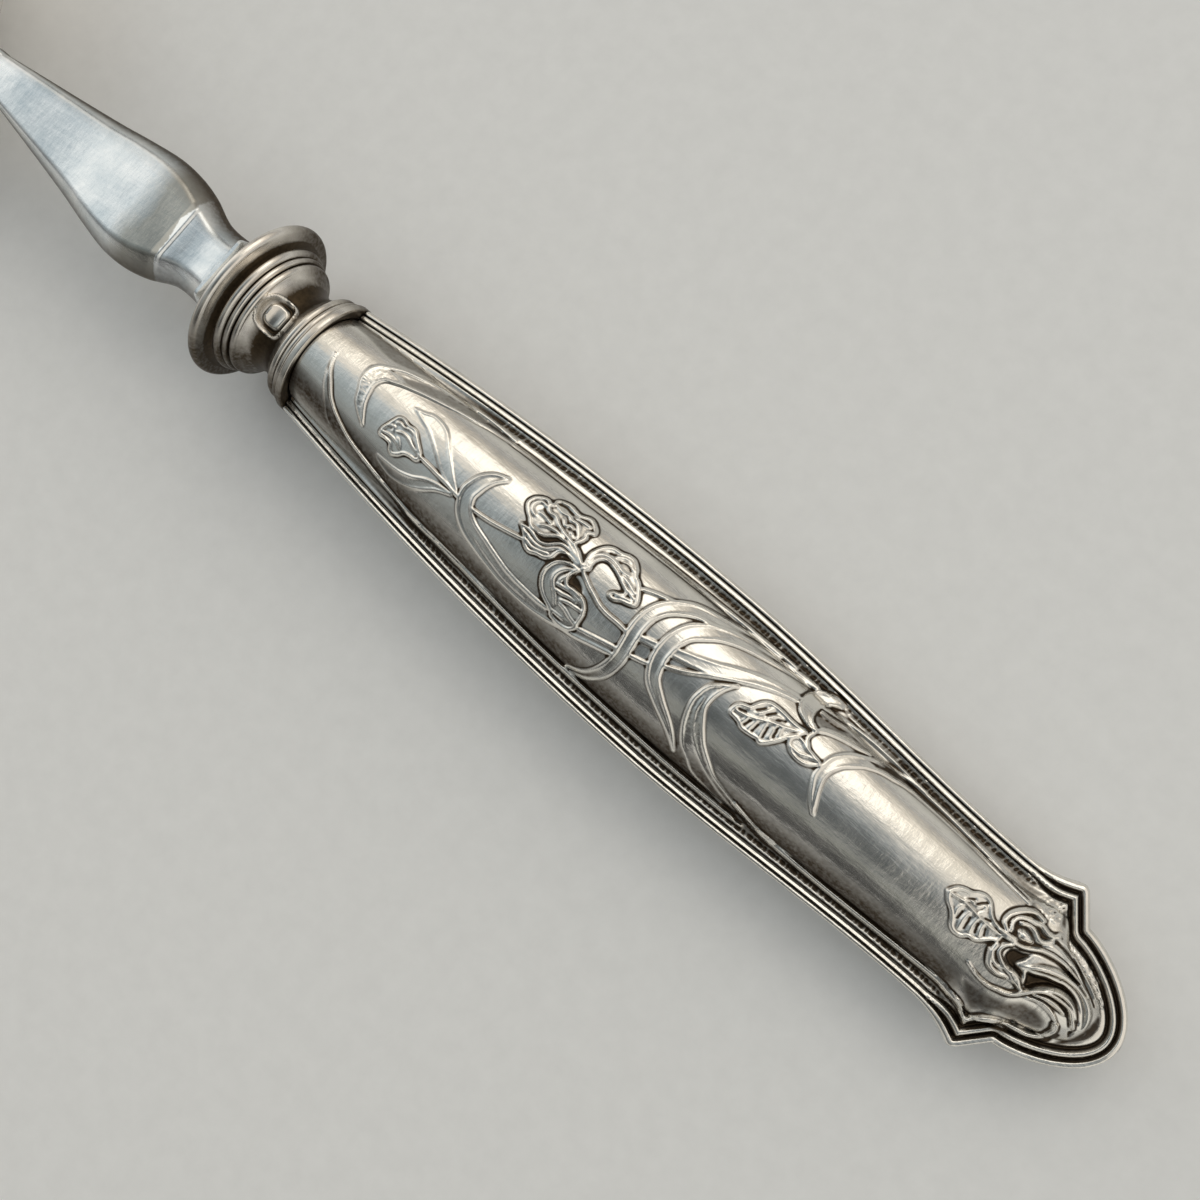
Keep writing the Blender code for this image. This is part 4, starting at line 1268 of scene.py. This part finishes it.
def shell_skins(grid):
    """Outer and inner skin of a shell as grids of points, with the outer skin's tone of tarnish and painted
    shade.
    """
    rows_x = shell_rows(grid)
    grid_y = shell_columns(rows_x, grid)
    grid_x = np.repeat(rows_x[:, None], grid_y.shape[1], axis=1)
    inset = outline_inset(rows_x, grid_y)
    inset[:, 0] = 0.0
    inset[:, -1] = 0.0
    relief = Relief(grid_x, grid_y, GRAIN_SEED)
    ornament(relief)
    raised = blur(relief.height.reshape(grid_x.shape), 1)
    cover = blur(relief.cover.reshape(grid_x.shape), 1)
    border, dark = border_height(inset, grid_x, grid_y, cover)
    height = border + field_rise(grid_x, grid_y) + raised
    beside = np.clip((blur(raised, 2) - raised - BESIDE_FROM) / BESIDE_SPAN, 0.0, 1.0)
    stain = blur(relief.stain.reshape(grid_x.shape), 1)
    beside *= np.where(grid_x > EARS_FROM_X, END_STAIN, FIELD_STAIN)
    bright = np.clip((raised - RAISED_BRIGHT) / RAISED_BRIGHT, 0.0, 1.0)
    # Hollow tone: tarnish in the lines, channel and beside the ornament, with painted shade along the field's
    # edge and in the strips
    hollow = np.maximum(dark * (1 - bright), (1 - cover) * np.maximum(stain, beside))
    outer = np.dstack([grid_x, grid_y, height])

    shorter = 1 - SEAM_WIDTH / TERMINAL_LENGTH
    inner_x = np.where(rows_x > NOTCH_X, NOTCH_X + (rows_x - NOTCH_X) * shorter, rows_x)
    wide = half_width(rows_x)
    inner_half = wide - SEAM_WIDTH * np.minimum(1.0, wide / NOTCH_HALF)
    inner_y = inner_half[:, None] * np.linspace(-1.0, 1.0, INNER_COLUMNS)[None, :]
    inner_x = np.repeat(inner_x[:, None], INNER_COLUMNS, axis=1)
    inner_z = np.maximum(field_edge(inner_x) - SHELL_WALL + field_rise(inner_x, inner_y), SEAM_HEIGHT)
    inner_z[:, 0] = SEAM_HEIGHT
    inner_z[:, -1] = SEAM_HEIGHT
    inner_z[-1, :] = SEAM_HEIGHT
    inner = np.dstack([inner_x, inner_y, inner_z])
    return outer, inner, hollow


def shell_mesh(outer, inner, hollow):
    """Closed mesh of a shell: wall, outer skin, inner skin, seam and front end."""
    wall_near = outer[:, :1].copy()
    wall_far = outer[:, -1:].copy()
    wall_near[:, :, 2] = SEAM_HEIGHT
    wall_far[:, :, 2] = SEAM_HEIGHT
    skin = np.concatenate([wall_near, outer, wall_far], axis=1)
    shade = np.concatenate([hollow[:, :1], hollow, hollow[:, -1:]], axis=1)
    points = []
    values = []
    ids = []
    for grid, tones in ((skin, shade), (inner, np.zeros(inner.shape[:2]))):
        rows, columns = grid.shape[:2]
        base = sum(len(part) for part in points)
        index = base + np.arange((rows - 1) * columns).reshape(rows - 1, columns)
        tip_count = 2 if grid is skin else 1
        tip = base + (rows - 1) * columns + np.zeros(columns, int)
        if tip_count == 2:
            tip[1:-1] += 1
        ids.append(np.vstack([index, tip[None, :]]))
        points.append(grid[:-1].reshape(-1, 3))
        values.append(tones[:-1].ravel())
        points.append(grid[-1, [0, columns // 2][:tip_count]])
        values.append(tones[-1, [0, columns // 2][:tip_count]])
    faces = []
    for number, index in enumerate(ids):
        corners = np.stack([index[:-1, :-1], index[:-1, 1:], index[1:, 1:], index[1:, :-1]], axis=-1)
        corners = corners.reshape(-1, 4)
        if number == 1:
            corners = corners[:, ::-1]
        faces.extend(corners.tolist())
    skin_ids, inner_ids = ids
    seam_near = np.stack([skin_ids[1:, 0], inner_ids[1:, 0], inner_ids[:-1, 0], skin_ids[:-1, 0]], axis=-1)
    seam_far = np.stack([skin_ids[:-1, -1], inner_ids[:-1, -1], inner_ids[1:, -1], skin_ids[1:, -1]], axis=-1)
    faces.extend(seam_near.tolist())
    faces.extend(seam_far.tolist())
    faces.append(skin_ids[0].tolist()[::-1] + inner_ids[0].tolist())
    clean = []
    for face in faces:
        kept = [face[step] for step in range(len(face)) if face[step] != face[step - 1]]
        if len(kept) > 2:
            clean.append(kept)
    return np.concatenate(points), clean, np.concatenate(values)


def add_piece(name, points, faces, material, node, hollow=None, sharp=None):
    """Make one piece of the spoon that stands for a CAD node."""
    mesh = bpy.data.meshes.new(name)
    mesh.from_pydata(np.asarray(points).tolist(), [], faces)
    mesh.transform(AXIS)
    mesh.validate()
    mesh.shade_smooth()
    if sharp is not None:
        mesh.set_sharp_from_angle(angle=math.radians(sharp))
    # The hollow tone holds tarnish, and painted shade on the handle, ferrule and shank
    tone = mesh.attributes.new("hollow", "FLOAT", "POINT")
    if hollow is not None:
        tone.data.foreach_set("value", np.asarray(hollow, np.float32))
    mesh.materials.append(material)
    piece = bpy.data.objects.new(name, mesh)
    bpy.context.scene.collection.objects.link(piece)
    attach(piece, "root")
    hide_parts(node)
    return piece


def rounded(profile, radius, steps=3, closed=False):
    """Take the corners off a line of (a, b) points."""
    profile = np.asarray(profile, float)
    count = len(profile)
    result = []
    for index in range(count):
        here = profile[index]
        if not closed and index in (0, count - 1):
            result.append(here)
            continue
        before = profile[index - 1] - here
        after = profile[(index + 1) % count] - here
        cut = min(radius, CORNER_MOST_SHARE * np.hypot(*before), CORNER_MOST_SHARE * np.hypot(*after))
        first = here + before / max(np.hypot(*before), 1e-9) * cut
        last = here + after / max(np.hypot(*after), 1e-9) * cut
        for step in range(steps + 1):
            share = step / steps
            result.append((1 - share) ** 2 * first + 2 * share * (1 - share) * here + share ** 2 * last)
    return np.array(result)


def ring_faces(rings, count, wrap=False):
    """Quads between rings of equal count, with caps unless the rings wrap round."""
    faces = []
    for row in range(rings if wrap else rings - 1):
        here = row * count
        there = ((row + 1) % rings) * count
        for step in range(count):
            after = (step + 1) % count
            faces.append((here + step, here + after, there + after, there + step))
    if not wrap:
        faces.append(tuple(range(count))[::-1])
        faces.append(tuple(range((rings - 1) * count, rings * count)))
    return faces


def turned(profile):
    """Revolve a closed profile of (x, radius)."""
    angles = np.linspace(0.0, 2 * math.pi, TURN_STEPS, endpoint=False)
    rings = []
    for along, radius in profile:
        place = np.full(TURN_STEPS, along)
        rings.append(np.column_stack([place, radius * np.cos(angles), radius * np.sin(angles)]))
    return np.concatenate(rings), ring_faces(len(profile), TURN_STEPS, wrap=True)


def profile_hollow(profile, cells=5):
    """How deep each point of a turned profile lies against its neighbours."""
    radius = np.asarray(profile)[:, 1]
    around = np.mean([np.roll(radius, shift) for shift in range(-cells, cells + 1)], axis=0)
    deep = np.clip((around - radius) / GROOVE_FULL_DEPTH, 0.0, 1.0)
    waist = np.clip((WAIST_STAIN_RADIUS - radius) / (STEP_RADIUS - HOLLOW_WAIST_RADIUS), 0.0, 1.0)
    return np.repeat(np.maximum(deep, WAIST_STAIN * waist), TURN_STEPS)


def bead(place, half, radius, height):
    """Half-round bead of a turned profile."""
    angles = np.linspace(-math.pi / 2, math.pi / 2, BEAD_STEPS)
    return [(place + half * math.sin(angle), radius - height * (1 - math.cos(angle))) for angle in angles]


def ferrule_profile():
    profile = [(0.0, BORE_RADIUS), (0.0, PLATE_FACE_RADIUS), FLANGE_FRONT]
    profile += bead(*FLANGE_BEAD)
    profile += FLANGE_BACK
    for each in BEADS:
        profile += bead(*each)
    span = HOLLOW_END[0] - HOLLOW_START[0]
    sag = (HOLLOW_START[1] + HOLLOW_END[1]) / 2 - HOLLOW_WAIST_RADIUS
    for share in np.linspace(0.0, 1.0, HOLLOW_STEPS):
        radius = HOLLOW_START[1] + (HOLLOW_END[1] - HOLLOW_START[1]) * share - sag * math.sin(math.pi * share)
        profile.append((HOLLOW_START[0] + span * share, radius))
    for each in REEDS:
        profile += bead(*each)
    back = FERRULE_END - JOINT_GAP
    end = [(SLEEVE_START - SLEEVE_LIP, SLEEVE_RADIUS - SLEEVE_STEP), (SLEEVE_START, SLEEVE_RADIUS),
           (SLEEVE_END, SLEEVE_RADIUS), (SLEEVE_END, SLEEVE_INSIDE),
           (back, SLEEVE_INSIDE), (back, BORE_RADIUS)]
    return np.array(profile + rounded(end, SLEEVE_ROUNDING).tolist())


def raise_frame(points, tone):
    """Press the frame out of the ferrule's hollow, on the side that faces up, and keep it bright; paint shade
    on the ferrule's sides, beyond the band that faces up.
    """
    radius = np.hypot(points[:, 1], points[:, 2])
    angle = np.arctan2(points[:, 1], points[:, 2])
    across = np.abs(angle) * radius / FRAME_HALF_WIDTH
    along = np.abs(points[:, 0] - FRAME_X) / FRAME_HALF_LENGTH
    out = (along ** FRAME_SQUARENESS + across ** FRAME_SQUARENESS) ** (1 / FRAME_SQUARENESS)
    shown = (radius > FRAME_LEAST_RADIUS) & (along < FRAME_REACH) & (np.abs(angle) < FRAME_TURN)
    rim = ridge((out - 1.0) * FRAME_HALF_WIDTH, FRAME_RIM)
    bed = FRAME_BED * np.clip((FRAME_BED_EDGE - out) / FRAME_BED_FADE, 0.0, 1.0)
    share = np.where(shown, np.maximum(rim, bed), 0.0)
    grown = (radius + FRAME_RISE * share) / np.maximum(radius, 1e-9)
    points[:, 1] *= grown
    points[:, 2] *= grown
    # Painted shade on the ferrule's sides, fading in beyond the band that faces up
    turn = np.degrees(angle) - UNSHADED_MIDDLE
    beyond = np.clip((np.abs(turn) - UNSHADED_HALF) / UNSHADED_FADE, 0.0, 1.0)
    sides = hermite(0.0, 1.0, 0.0, 0.0, 1.0, beyond)
    return points, np.maximum(tone, SIDE_PAINTED_SHADE * sides) * (1 - np.minimum(1.0, FRAME_BRIGHT * share))


def bowl_outside(share):
    foot = BOWL_FOOT_LENGTH / BOWL_LENGTH
    return BOWL_DEPTH * max(0.0, (share - foot) / (1 - foot)) ** 2


def bowl_narrowing(along):
    """How the bowl's oval narrows towards its heel, where it is drawn out to the shank."""
    return (1 - BOWL_EGG * along) * (1 - HEEL_DRAWN * np.maximum(along, 0.0) ** HEEL_POWER)


def bowl_underside(x, y):
    along = (x - BOWL_CENTRE_X) / (BOWL_LENGTH / 2)
    across = y / (BOWL_WIDTH / 2 * bowl_narrowing(along))
    return bowl_outside(math.hypot(along, across)) - table_depth(x)


def bowl_ring(share, inset, height):
    angle = np.linspace(0.0, 2 * math.pi, BOWL_STEPS, endpoint=False)
    along = share * np.cos(angle)
    across = share * np.sin(angle) * bowl_narrowing(along)
    x = BOWL_CENTRE_X + along * (BOWL_LENGTH / 2 - inset)
    return np.column_stack([x, across * (BOWL_WIDTH / 2 - inset), height - table_depth(x)])


def bowl_mesh():
    foot = BOWL_FOOT_LENGTH / BOWL_LENGTH
    rings = [bowl_ring(share, 0.0, bowl_outside(share)) for share in np.linspace(foot, RIM_FROM, BOWL_RINGS)]
    start = bowl_outside(RIM_FROM)
    for step in range(1, RIM_STEPS + 1):
        angle = math.pi * step / RIM_STEPS
        share = RIM_FROM + (1 - RIM_FROM) * math.sin(min(angle, math.pi / 2))
        if angle <= math.pi / 2:
            inset = RIM_TRIM
            height = start + (BOWL_DEPTH - start) * math.sin(angle) ** RIM_FULLNESS
        else:
            inset = BOWL_SHEET * (1 - math.cos(angle)) / 2
            height = BOWL_DEPTH - RIM_STEP * (1 - math.sin(angle))
        rings.append(bowl_ring(share, inset, height))
    hollow = BOWL_DEPTH - BOWL_SHEET - RIM_STEP
    for share in np.linspace(RIM_INSIDE, foot * INSIDE_FOOT, BOWL_RINGS):
        rings.append(bowl_ring(share, BOWL_SHEET, BOWL_SHEET + hollow * share ** 2))
    return np.concatenate(rings), ring_faces(len(rings), BOWL_STEPS)


def section(x, corners, flat):
    """Closed section at one place along the axis, with its corners taken off."""
    radius = min(SECTION_CORNER, SECTION_CORNER_MOST * flat)
    line = rounded(corners, radius, CORNER_STEPS, closed=True)
    return np.column_stack([np.full(len(line), x), line])


def shank_section(x, centre, flat, half, thick, top_change, lean=0.0):
    near_flat = flat + NEAR_FLAT_EXTRA * lean
    near_half = half + NEAR_SIDE_EXTRA * lean
    top = centre + thick + top_change
    bottom = centre - thick
    corners = [(-near_flat, top), (0.0, top), (flat, top), (half, centre),
               (flat, bottom), (0.0, bottom), (-flat, bottom), (-near_half, centre)]
    return section(x, corners, flat)


def tongue_section(x, share):
    half = STEM_HALF + (HEEL_TIP_HALF - STEM_HALF) * share
    flat = half * STEM_FLAT / STEM_HALF
    thickness = 2 * STEM_HALF_THICKNESS + (HEEL_TIP_THICKNESS - 2 * STEM_HALF_THICKNESS) * share
    middle = bowl_underside(x, 0.0) - FIT_GAP
    side = bowl_underside(x, flat) - FIT_GAP
    centre = middle - thickness / 2
    bottom = middle - thickness
    corners = [(-flat, side), (0.0, middle), (flat, side), (half, centre),
               (flat, bottom), (0.0, bottom), (-flat, bottom), (-half, centre)]
    return section(x, corners, flat)


def shank_row(distance):
    """Top face, side ridge and thickness at a distance from the plate, on a smooth curve through the rows."""
    rows = np.array(SHANK_CURVE)
    index = int(np.clip(np.searchsorted(rows[:, 0], distance, side="right") - 1, 0, len(rows) - 2))
    first, second = rows[index], rows[index + 1]
    before = rows[max(index - 1, 0)]
    after = rows[min(index + 2, len(rows) - 1)]
    span = second[0] - first[0]
    start_slope = (second - before) / (second[0] - before[0])
    end_slope = (after - first) / (after[0] - first[0])
    return hermite(first, second, start_slope, end_slope, span, (distance - first[0]) / span)[1:]


def shank_mesh():
    stem_top = BOWL_DEPTH - table_depth(HEEL_X) - BOWL_SHEET
    rise = stem_top - STEM_HALF_THICKNESS
    sections = []
    for share in np.linspace(1.0, 0.0, TONGUE_SECTIONS):
        inset = BOWL_SHEET + (HEEL_TONGUE_LENGTH - BOWL_SHEET) * share
        sections.append(tongue_section(HEEL_X - inset, share))
    for distance in np.linspace(STEM_AT, 0.0, SHANK_SECTIONS):
        flat, half, thick = shank_row(distance)
        climb = max(0.0, (distance - (SHANK_LENGTH - STEM_RISE_LENGTH)) / STEM_RISE_LENGTH)
        centre = rise * hermite(0.0, 1.0, 0.0, 0.0, 1.0, climb)
        change = NECK_RIDGE_RISE * float(np.interp(distance, NECK_RIDGE, (0.0, 1.0, 0.0)))
        change -= NECK_HOLLOW_DEPTH * ridge(distance - NECK_HOLLOW_AT, NECK_HOLLOW_HALF)
        lean = float(np.clip((half - STEM_HALF) / (LEAF_HALF - STEM_HALF), 0.0, 1.0))
        inside = FOOT_BLOCK_HALF - abs(distance - FOOT_BLOCK_AT)
        block = float(np.clip(inside / FOOT_BLOCK_EDGE, 0.0, 1.0))
        flat += (FOOT_BLOCK_FLAT - flat) * block
        change += FOOT_BLOCK_RISE * block
        place = PLATE_FRONT_X - JOINT_GAP - distance
        sections.append(shank_section(place, centre, flat, half, thick, change, lean))
    foot = PLATE_FRONT_X - JOINT_GAP
    sections.append(shank_section(foot, 0.0, TANG_HALF / 2, TANG_HALF, TANG_HALF, 0.0))
    tip = FERRULE_END + TANG_LENGTH
    sections.append(shank_section(tip, 0.0, TANG_TIP_HALF / 2, TANG_TIP_HALF, TANG_TIP_HALF, 0.0))
    return np.concatenate(sections), ring_faces(len(sections), len(sections[0]))


def plate_mesh():
    front = PLATE_FRONT_X
    back = -JOINT_GAP
    profile = [(front, BORE_RADIUS), (front, PLATE_FACE_RADIUS - PLATE_BEVEL),
               (2 * back, PLATE_FACE_RADIUS), (back, PLATE_FACE_RADIUS), (back, BORE_RADIUS)]
    return turned(rounded(profile, PLATE_ROUNDING, PLATE_CORNER_STEPS))


def node_link(tree, kind, **inputs):
    node = tree.nodes.new(kind)
    for name, value in inputs.items():
        node.inputs[name.replace("_", " ")].default_value = value
    return node


def ramp(tree, source, stops, interpolation="LINEAR"):
    """Colour ramp over a value, from (place, colour) pairs."""
    node = tree.nodes.new("ShaderNodeValToRGB")
    node.color_ramp.interpolation = interpolation
    elements = node.color_ramp.elements
    while len(elements) < len(stops):
        elements.new(0.5)
    for element, (place, colour) in zip(elements, stops):
        element.position = place
        element.color = (*colour, 1.0)
    tree.links.new(source, node.inputs["Fac"])
    return node.outputs["Color"]


def mix_colour(tree, factor, first, second, blend="MIX"):
    node = tree.nodes.new("ShaderNodeMix")
    node.data_type = "RGBA"
    node.blend_type = blend
    tree.links.new(factor, node.inputs[0])
    tree.links.new(first, node.inputs[6])
    tree.links.new(second, node.inputs[7])
    return node.outputs[2]


def calculate(tree, operation, first, second):
    node = tree.nodes.new("ShaderNodeMath")
    node.operation = operation
    for socket, value in zip(node.inputs, (first, second)):
        if isinstance(value, (int, float)):
            socket.default_value = value
        else:
            tree.links.new(value, socket)
    return node.outputs[0]


def noise(tree, place, scale, detail, stretch=(1.0, 1.0, 1.0)):
    mapping = tree.nodes.new("ShaderNodeMapping")
    mapping.inputs["Scale"].default_value = stretch
    tree.links.new(place, mapping.inputs["Vector"])
    node = node_link(tree, "ShaderNodeTexNoise", Scale=scale, Detail=detail, Roughness=0.6)
    tree.links.new(mapping.outputs["Vector"], node.inputs["Vector"])
    return node.outputs["Fac"]


def new_material(name):
    """Material with its node tree, its shader and the object's own coordinates."""
    material = bpy.data.materials.new(name)
    material.use_nodes = True
    tree = material.node_tree
    place = tree.nodes.new("ShaderNodeTexCoord").outputs["Object"]
    return material, tree, tree.nodes["Principled BSDF"], place


def silver(name, clean, dull, tarnish, roughness, tarnish_reach, scratch, stretch=None):
    """Old silver: mottled, brown in its hollows and with painted shade where its hollow tone carries it,
    finely scratched, and duller along a stretch if wanted.
    """
    material, tree, shader, place = new_material(name)
    shader.inputs["Metallic"].default_value = 1.0
    cloud = noise(tree, place, CLOUD_SCALE, 6.0)
    speck = noise(tree, place, SPECK_SCALE, 3.0)
    metal = ramp(tree, cloud, [(0.3, dull), (0.62, clean)])
    if stretch is not None:
        first, last, colour = stretch
        parts = tree.nodes.new("ShaderNodeSeparateXYZ")
        tree.links.new(place, parts.inputs[0])
        wander = calculate(tree, "MULTIPLY", calculate(tree, "SUBTRACT", cloud, 0.5), DULL_WANDER)
        along = calculate(tree, "ADD", parts.outputs["X"], wander)
        share = calculate(tree, "DIVIDE", calculate(tree, "SUBTRACT", along, first), last - first)
        worn = ramp(tree, share, [(0.0, BLACK), (0.4, WHITE), (0.97, WHITE), (1.0, BLACK)])
        stained = ramp(tree, cloud, [(0.3, tuple(DULL_DARKER * part for part in colour)), (0.65, colour)])
        metal = mix_colour(tree, worn, metal, stained)
    # The hollow tone brings in the tarnished colour: tarnish, and painted shade on the handle, ferrule and
    # shank
    hollow = tree.nodes.new("ShaderNodeAttribute")
    hollow.attribute_name = "hollow"
    uneven = calculate(tree, "ADD", calculate(tree, "MULTIPLY", speck, 0.5), 0.7)
    patchy = calculate(tree, "MULTIPLY", hollow.outputs["Fac"], uneven)
    stain = ramp(tree, patchy, [(STAIN_STARTS, BLACK), (tarnish_reach, WHITE)])
    dark = ramp(tree, speck, [(0.3, tuple(SPECK_DARKER * part for part in tarnish)), (0.7, tarnish)])
    tree.links.new(mix_colour(tree, stain, metal, dark), shader.inputs["Base Color"])
    wear = calculate(tree, "MULTIPLY", cloud, CLOUD_ROUGHNESS)
    rough = calculate(tree, "ADD", wear, roughness - CLOUD_ROUGHNESS / 2)
    rough = calculate(tree, "ADD", rough, calculate(tree, "MULTIPLY", stain, STAIN_ROUGHNESS))
    tree.links.new(rough, shader.inputs["Roughness"])
    lines = noise(tree, place, SCRATCH_SCALE, 4.0, SCRATCH_STRETCH)
    cross = noise(tree, place, CROSS_SCALE, 4.0, CROSS_STRETCH)
    grain = calculate(tree, "ADD", lines, cross)
    bump = node_link(tree, "ShaderNodeBump", Strength=scratch, Distance=SCRATCH_DEPTH)
    tree.links.new(grain, bump.inputs["Height"])
    tree.links.new(bump.outputs["Normal"], shader.inputs["Normal"])
    return material


def cement():
    material, tree, shader, place = new_material("filling_cement_look")
    grit = noise(tree, place, CEMENT_SCALE, 8.0)
    colour = ramp(tree, grit, list(zip((0.3, 0.7), CEMENT_COLOURS)))
    tree.links.new(colour, shader.inputs["Base Color"])
    shader.inputs["Roughness"].default_value = CEMENT_ROUGHNESS
    bump = node_link(tree, "ShaderNodeBump", Strength=CEMENT_BUMP, Distance=CEMENT_DEPTH)
    tree.links.new(grit, bump.inputs["Height"])
    tree.links.new(bump.outputs["Normal"], shader.inputs["Normal"])
    return material


def floor_material():
    material, tree, shader, place = new_material("floor_paper")
    fibre = noise(tree, place, PAPER_SCALE, 5.0)
    colour = ramp(tree, fibre, list(zip((0.3, 0.7), PAPER_COLOURS)))
    tree.links.new(colour, shader.inputs["Base Color"])
    shader.inputs["Roughness"].default_value = PAPER_ROUGHNESS
    return material


def build_pieces():
    handle = silver("handle_silver", *HANDLE_SILVER)
    turned_silver = silver("ferrule_silver", *FERRULE_SILVER)
    forged = silver("shank_silver", *SHANK_SILVER, DULL_STRETCH)
    raised = silver("bowl_silver", *BOWL_SILVER)

    outer, inner, hollow = shell_skins(FRONT_GRID)
    points, faces, tone = shell_mesh(outer, inner, hollow)
    add_piece("handle_front_relief", points, faces, handle, "handle_front_shell", tone,
              STRUCK_SHARP)
    worn, inner, hollow = shell_skins(BACK_GRID)
    worn[:, :, 2] = np.minimum(worn[:, :, 2], table_depth(worn[:, :, 0]))
    points, faces, tone = shell_mesh(worn, inner, hollow)
    points = points * np.array([1.0, -1.0, -1.0])
    add_piece("handle_back_relief", points, faces, handle, "handle_back_shell", tone,
              STRUCK_SHARP)

    profile = ferrule_profile()
    points, faces = turned(profile)
    points, tone = raise_frame(points, profile_hollow(profile))
    add_piece("ferrule_turned", points, faces, turned_silver, "ferrule", tone, TURNED_SHARP)
    points, faces = plate_mesh()
    add_piece("plate_turned", points, faces, turned_silver, "bolster_plate", None,
              TURNED_SHARP)
    points, faces = shank_mesh()
    # Painted shade round each section of the shank, darkest on the far side, carried by the hollow tone
    around = np.repeat(SECTION_PAINTED_SHADE, CORNER_STEPS + 1)
    tone = np.tile(around, len(points) // len(around))
    add_piece("shank_forged", points, faces, forged, "shank", tone, FORGED_SHARP)
    points, faces = bowl_mesh()
    add_piece("bowl_raised", points, faces, raised, "bowl", None, STRUCK_SHARP)

    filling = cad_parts["cement_filling"]
    filling.data.materials.clear()
    filling.data.materials.append(cement())


def build_stage():
    mesh = bpy.data.meshes.new("floor")
    angles = np.linspace(0.0, 2 * math.pi, FLOOR_SIDES, endpoint=False)
    corners = [(FLOOR_RADIUS * math.cos(angle), FLOOR_RADIUS * math.sin(angle), 0.0) for angle in angles]
    mesh.from_pydata(corners, [], [tuple(range(FLOOR_SIDES))])
    mesh.materials.append(floor_material())
    floor = bpy.data.objects.new("floor", mesh)
    floor.location.z = -FLOOR_DROP
    bpy.context.scene.collection.objects.link(floor)


def sky_ramp(tree, angle_share, stops):
    places = [((place + 180) / 360, tuple(part / SKY_PEAK for part in colour)) for place, colour in stops]
    return ramp(tree, angle_share, places, "EASE")


def passing(tree, along, ends):
    """Share of the next sky, from where it starts to where it is full."""
    share = calculate(tree, "DIVIDE", calculate(tree, "SUBTRACT", along, ends[0]), ends[1] - ends[0])
    return ramp(tree, share, [(0.0, BLACK), (1.0, WHITE)], "EASE")


def build_light():
    world = bpy.data.worlds.new("studio")
    world.use_nodes = True
    bpy.context.scene.world = world
    tree = world.node_tree
    background = tree.nodes["Background"]
    direction = tree.nodes.new("ShaderNodeTexCoord").outputs["Generated"]
    parts = tree.nodes.new("ShaderNodeSeparateXYZ")
    tree.links.new(direction, parts.inputs[0])
    angle = calculate(tree, "ARCTAN2", parts.outputs["Y"], parts.outputs["Z"])
    share = calculate(tree, "ADD", calculate(tree, "DIVIDE", angle, 2 * math.pi), 0.5)
    along = parts.outputs["X"]
    sky = sky_ramp(tree, share, HANDLE_STOPS)
    nexts = ((HANDLE_TO_START, START_STOPS), (START_TO_BOWL, BOWL_STOPS), (BOWL_TO_FRONT, FRONT_STOPS),
             (HANDLE_TO_TIP, TIP_STOPS))
    for ends, stops in nexts:
        sky = mix_colour(tree, passing(tree, along, ends), sky, sky_ramp(tree, share, stops))
    plain = sky_ramp(tree, share, ((-180, HORIZON), (180, HORIZON)))
    sky = mix_colour(tree, passing(tree, parts.outputs["Z"], HORIZON_TO_SKY), plain, sky)
    tree.links.new(sky, background.inputs["Color"])
    background.inputs["Strength"].default_value = SKY_PEAK

    lamp = bpy.data.lights.new("key", "AREA")
    lamp.shape = "RECTANGLE"
    lamp.size = LAMP_SIZE[0]
    lamp.size_y = LAMP_SIZE[1]
    lamp.energy = LAMP_ENERGY
    lamp.color = LAMP_COLOUR
    key = bpy.data.objects.new("key", lamp)
    key.matrix_world = Matrix.Translation(LAMP_PLACE) @ Matrix.Rotation(LAMP_TURN, 4, "X")
    bpy.context.scene.collection.objects.link(key)


def build_camera():
    lean_c, lean_s = math.cos(CAMERA_LEAN), math.sin(CAMERA_LEAN)
    roll_c, roll_s = math.cos(CAMERA_ROLL), math.sin(CAMERA_ROLL)
    right = (roll_c * lean_c, roll_s, -roll_c * lean_s)
    up = (-roll_s * lean_c, roll_c, roll_s * lean_s)
    back = (lean_s, 0.0, lean_c)
    place = (AIM_X + CAMERA_DISTANCE * lean_s, 0.0, CAMERA_DISTANCE * lean_c)
    own = Matrix([[right[row], up[row], back[row], place[row]] for row in range(3)] + [[0.0, 0.0, 0.0, 1.0]])
    data = bpy.data.cameras.new("camera")
    data.sensor_width = SENSOR_WIDTH
    data.lens = FOCAL_PIXELS / IMAGE_PIXELS * SENSOR_WIDTH
    data.clip_start = CLIP_START
    camera = bpy.data.objects.new("camera", data)
    place_in_world = AXIS @ own
    location, turn, _ = place_in_world.decompose()
    camera.matrix_world = Matrix.LocRotScale(location, turn, None)
    bpy.context.scene.collection.objects.link(camera)
    bpy.context.scene.camera = camera


build_pieces()
build_stage()
build_light()
build_camera()
bpy.context.scene.view_settings.view_transform = "Standard"
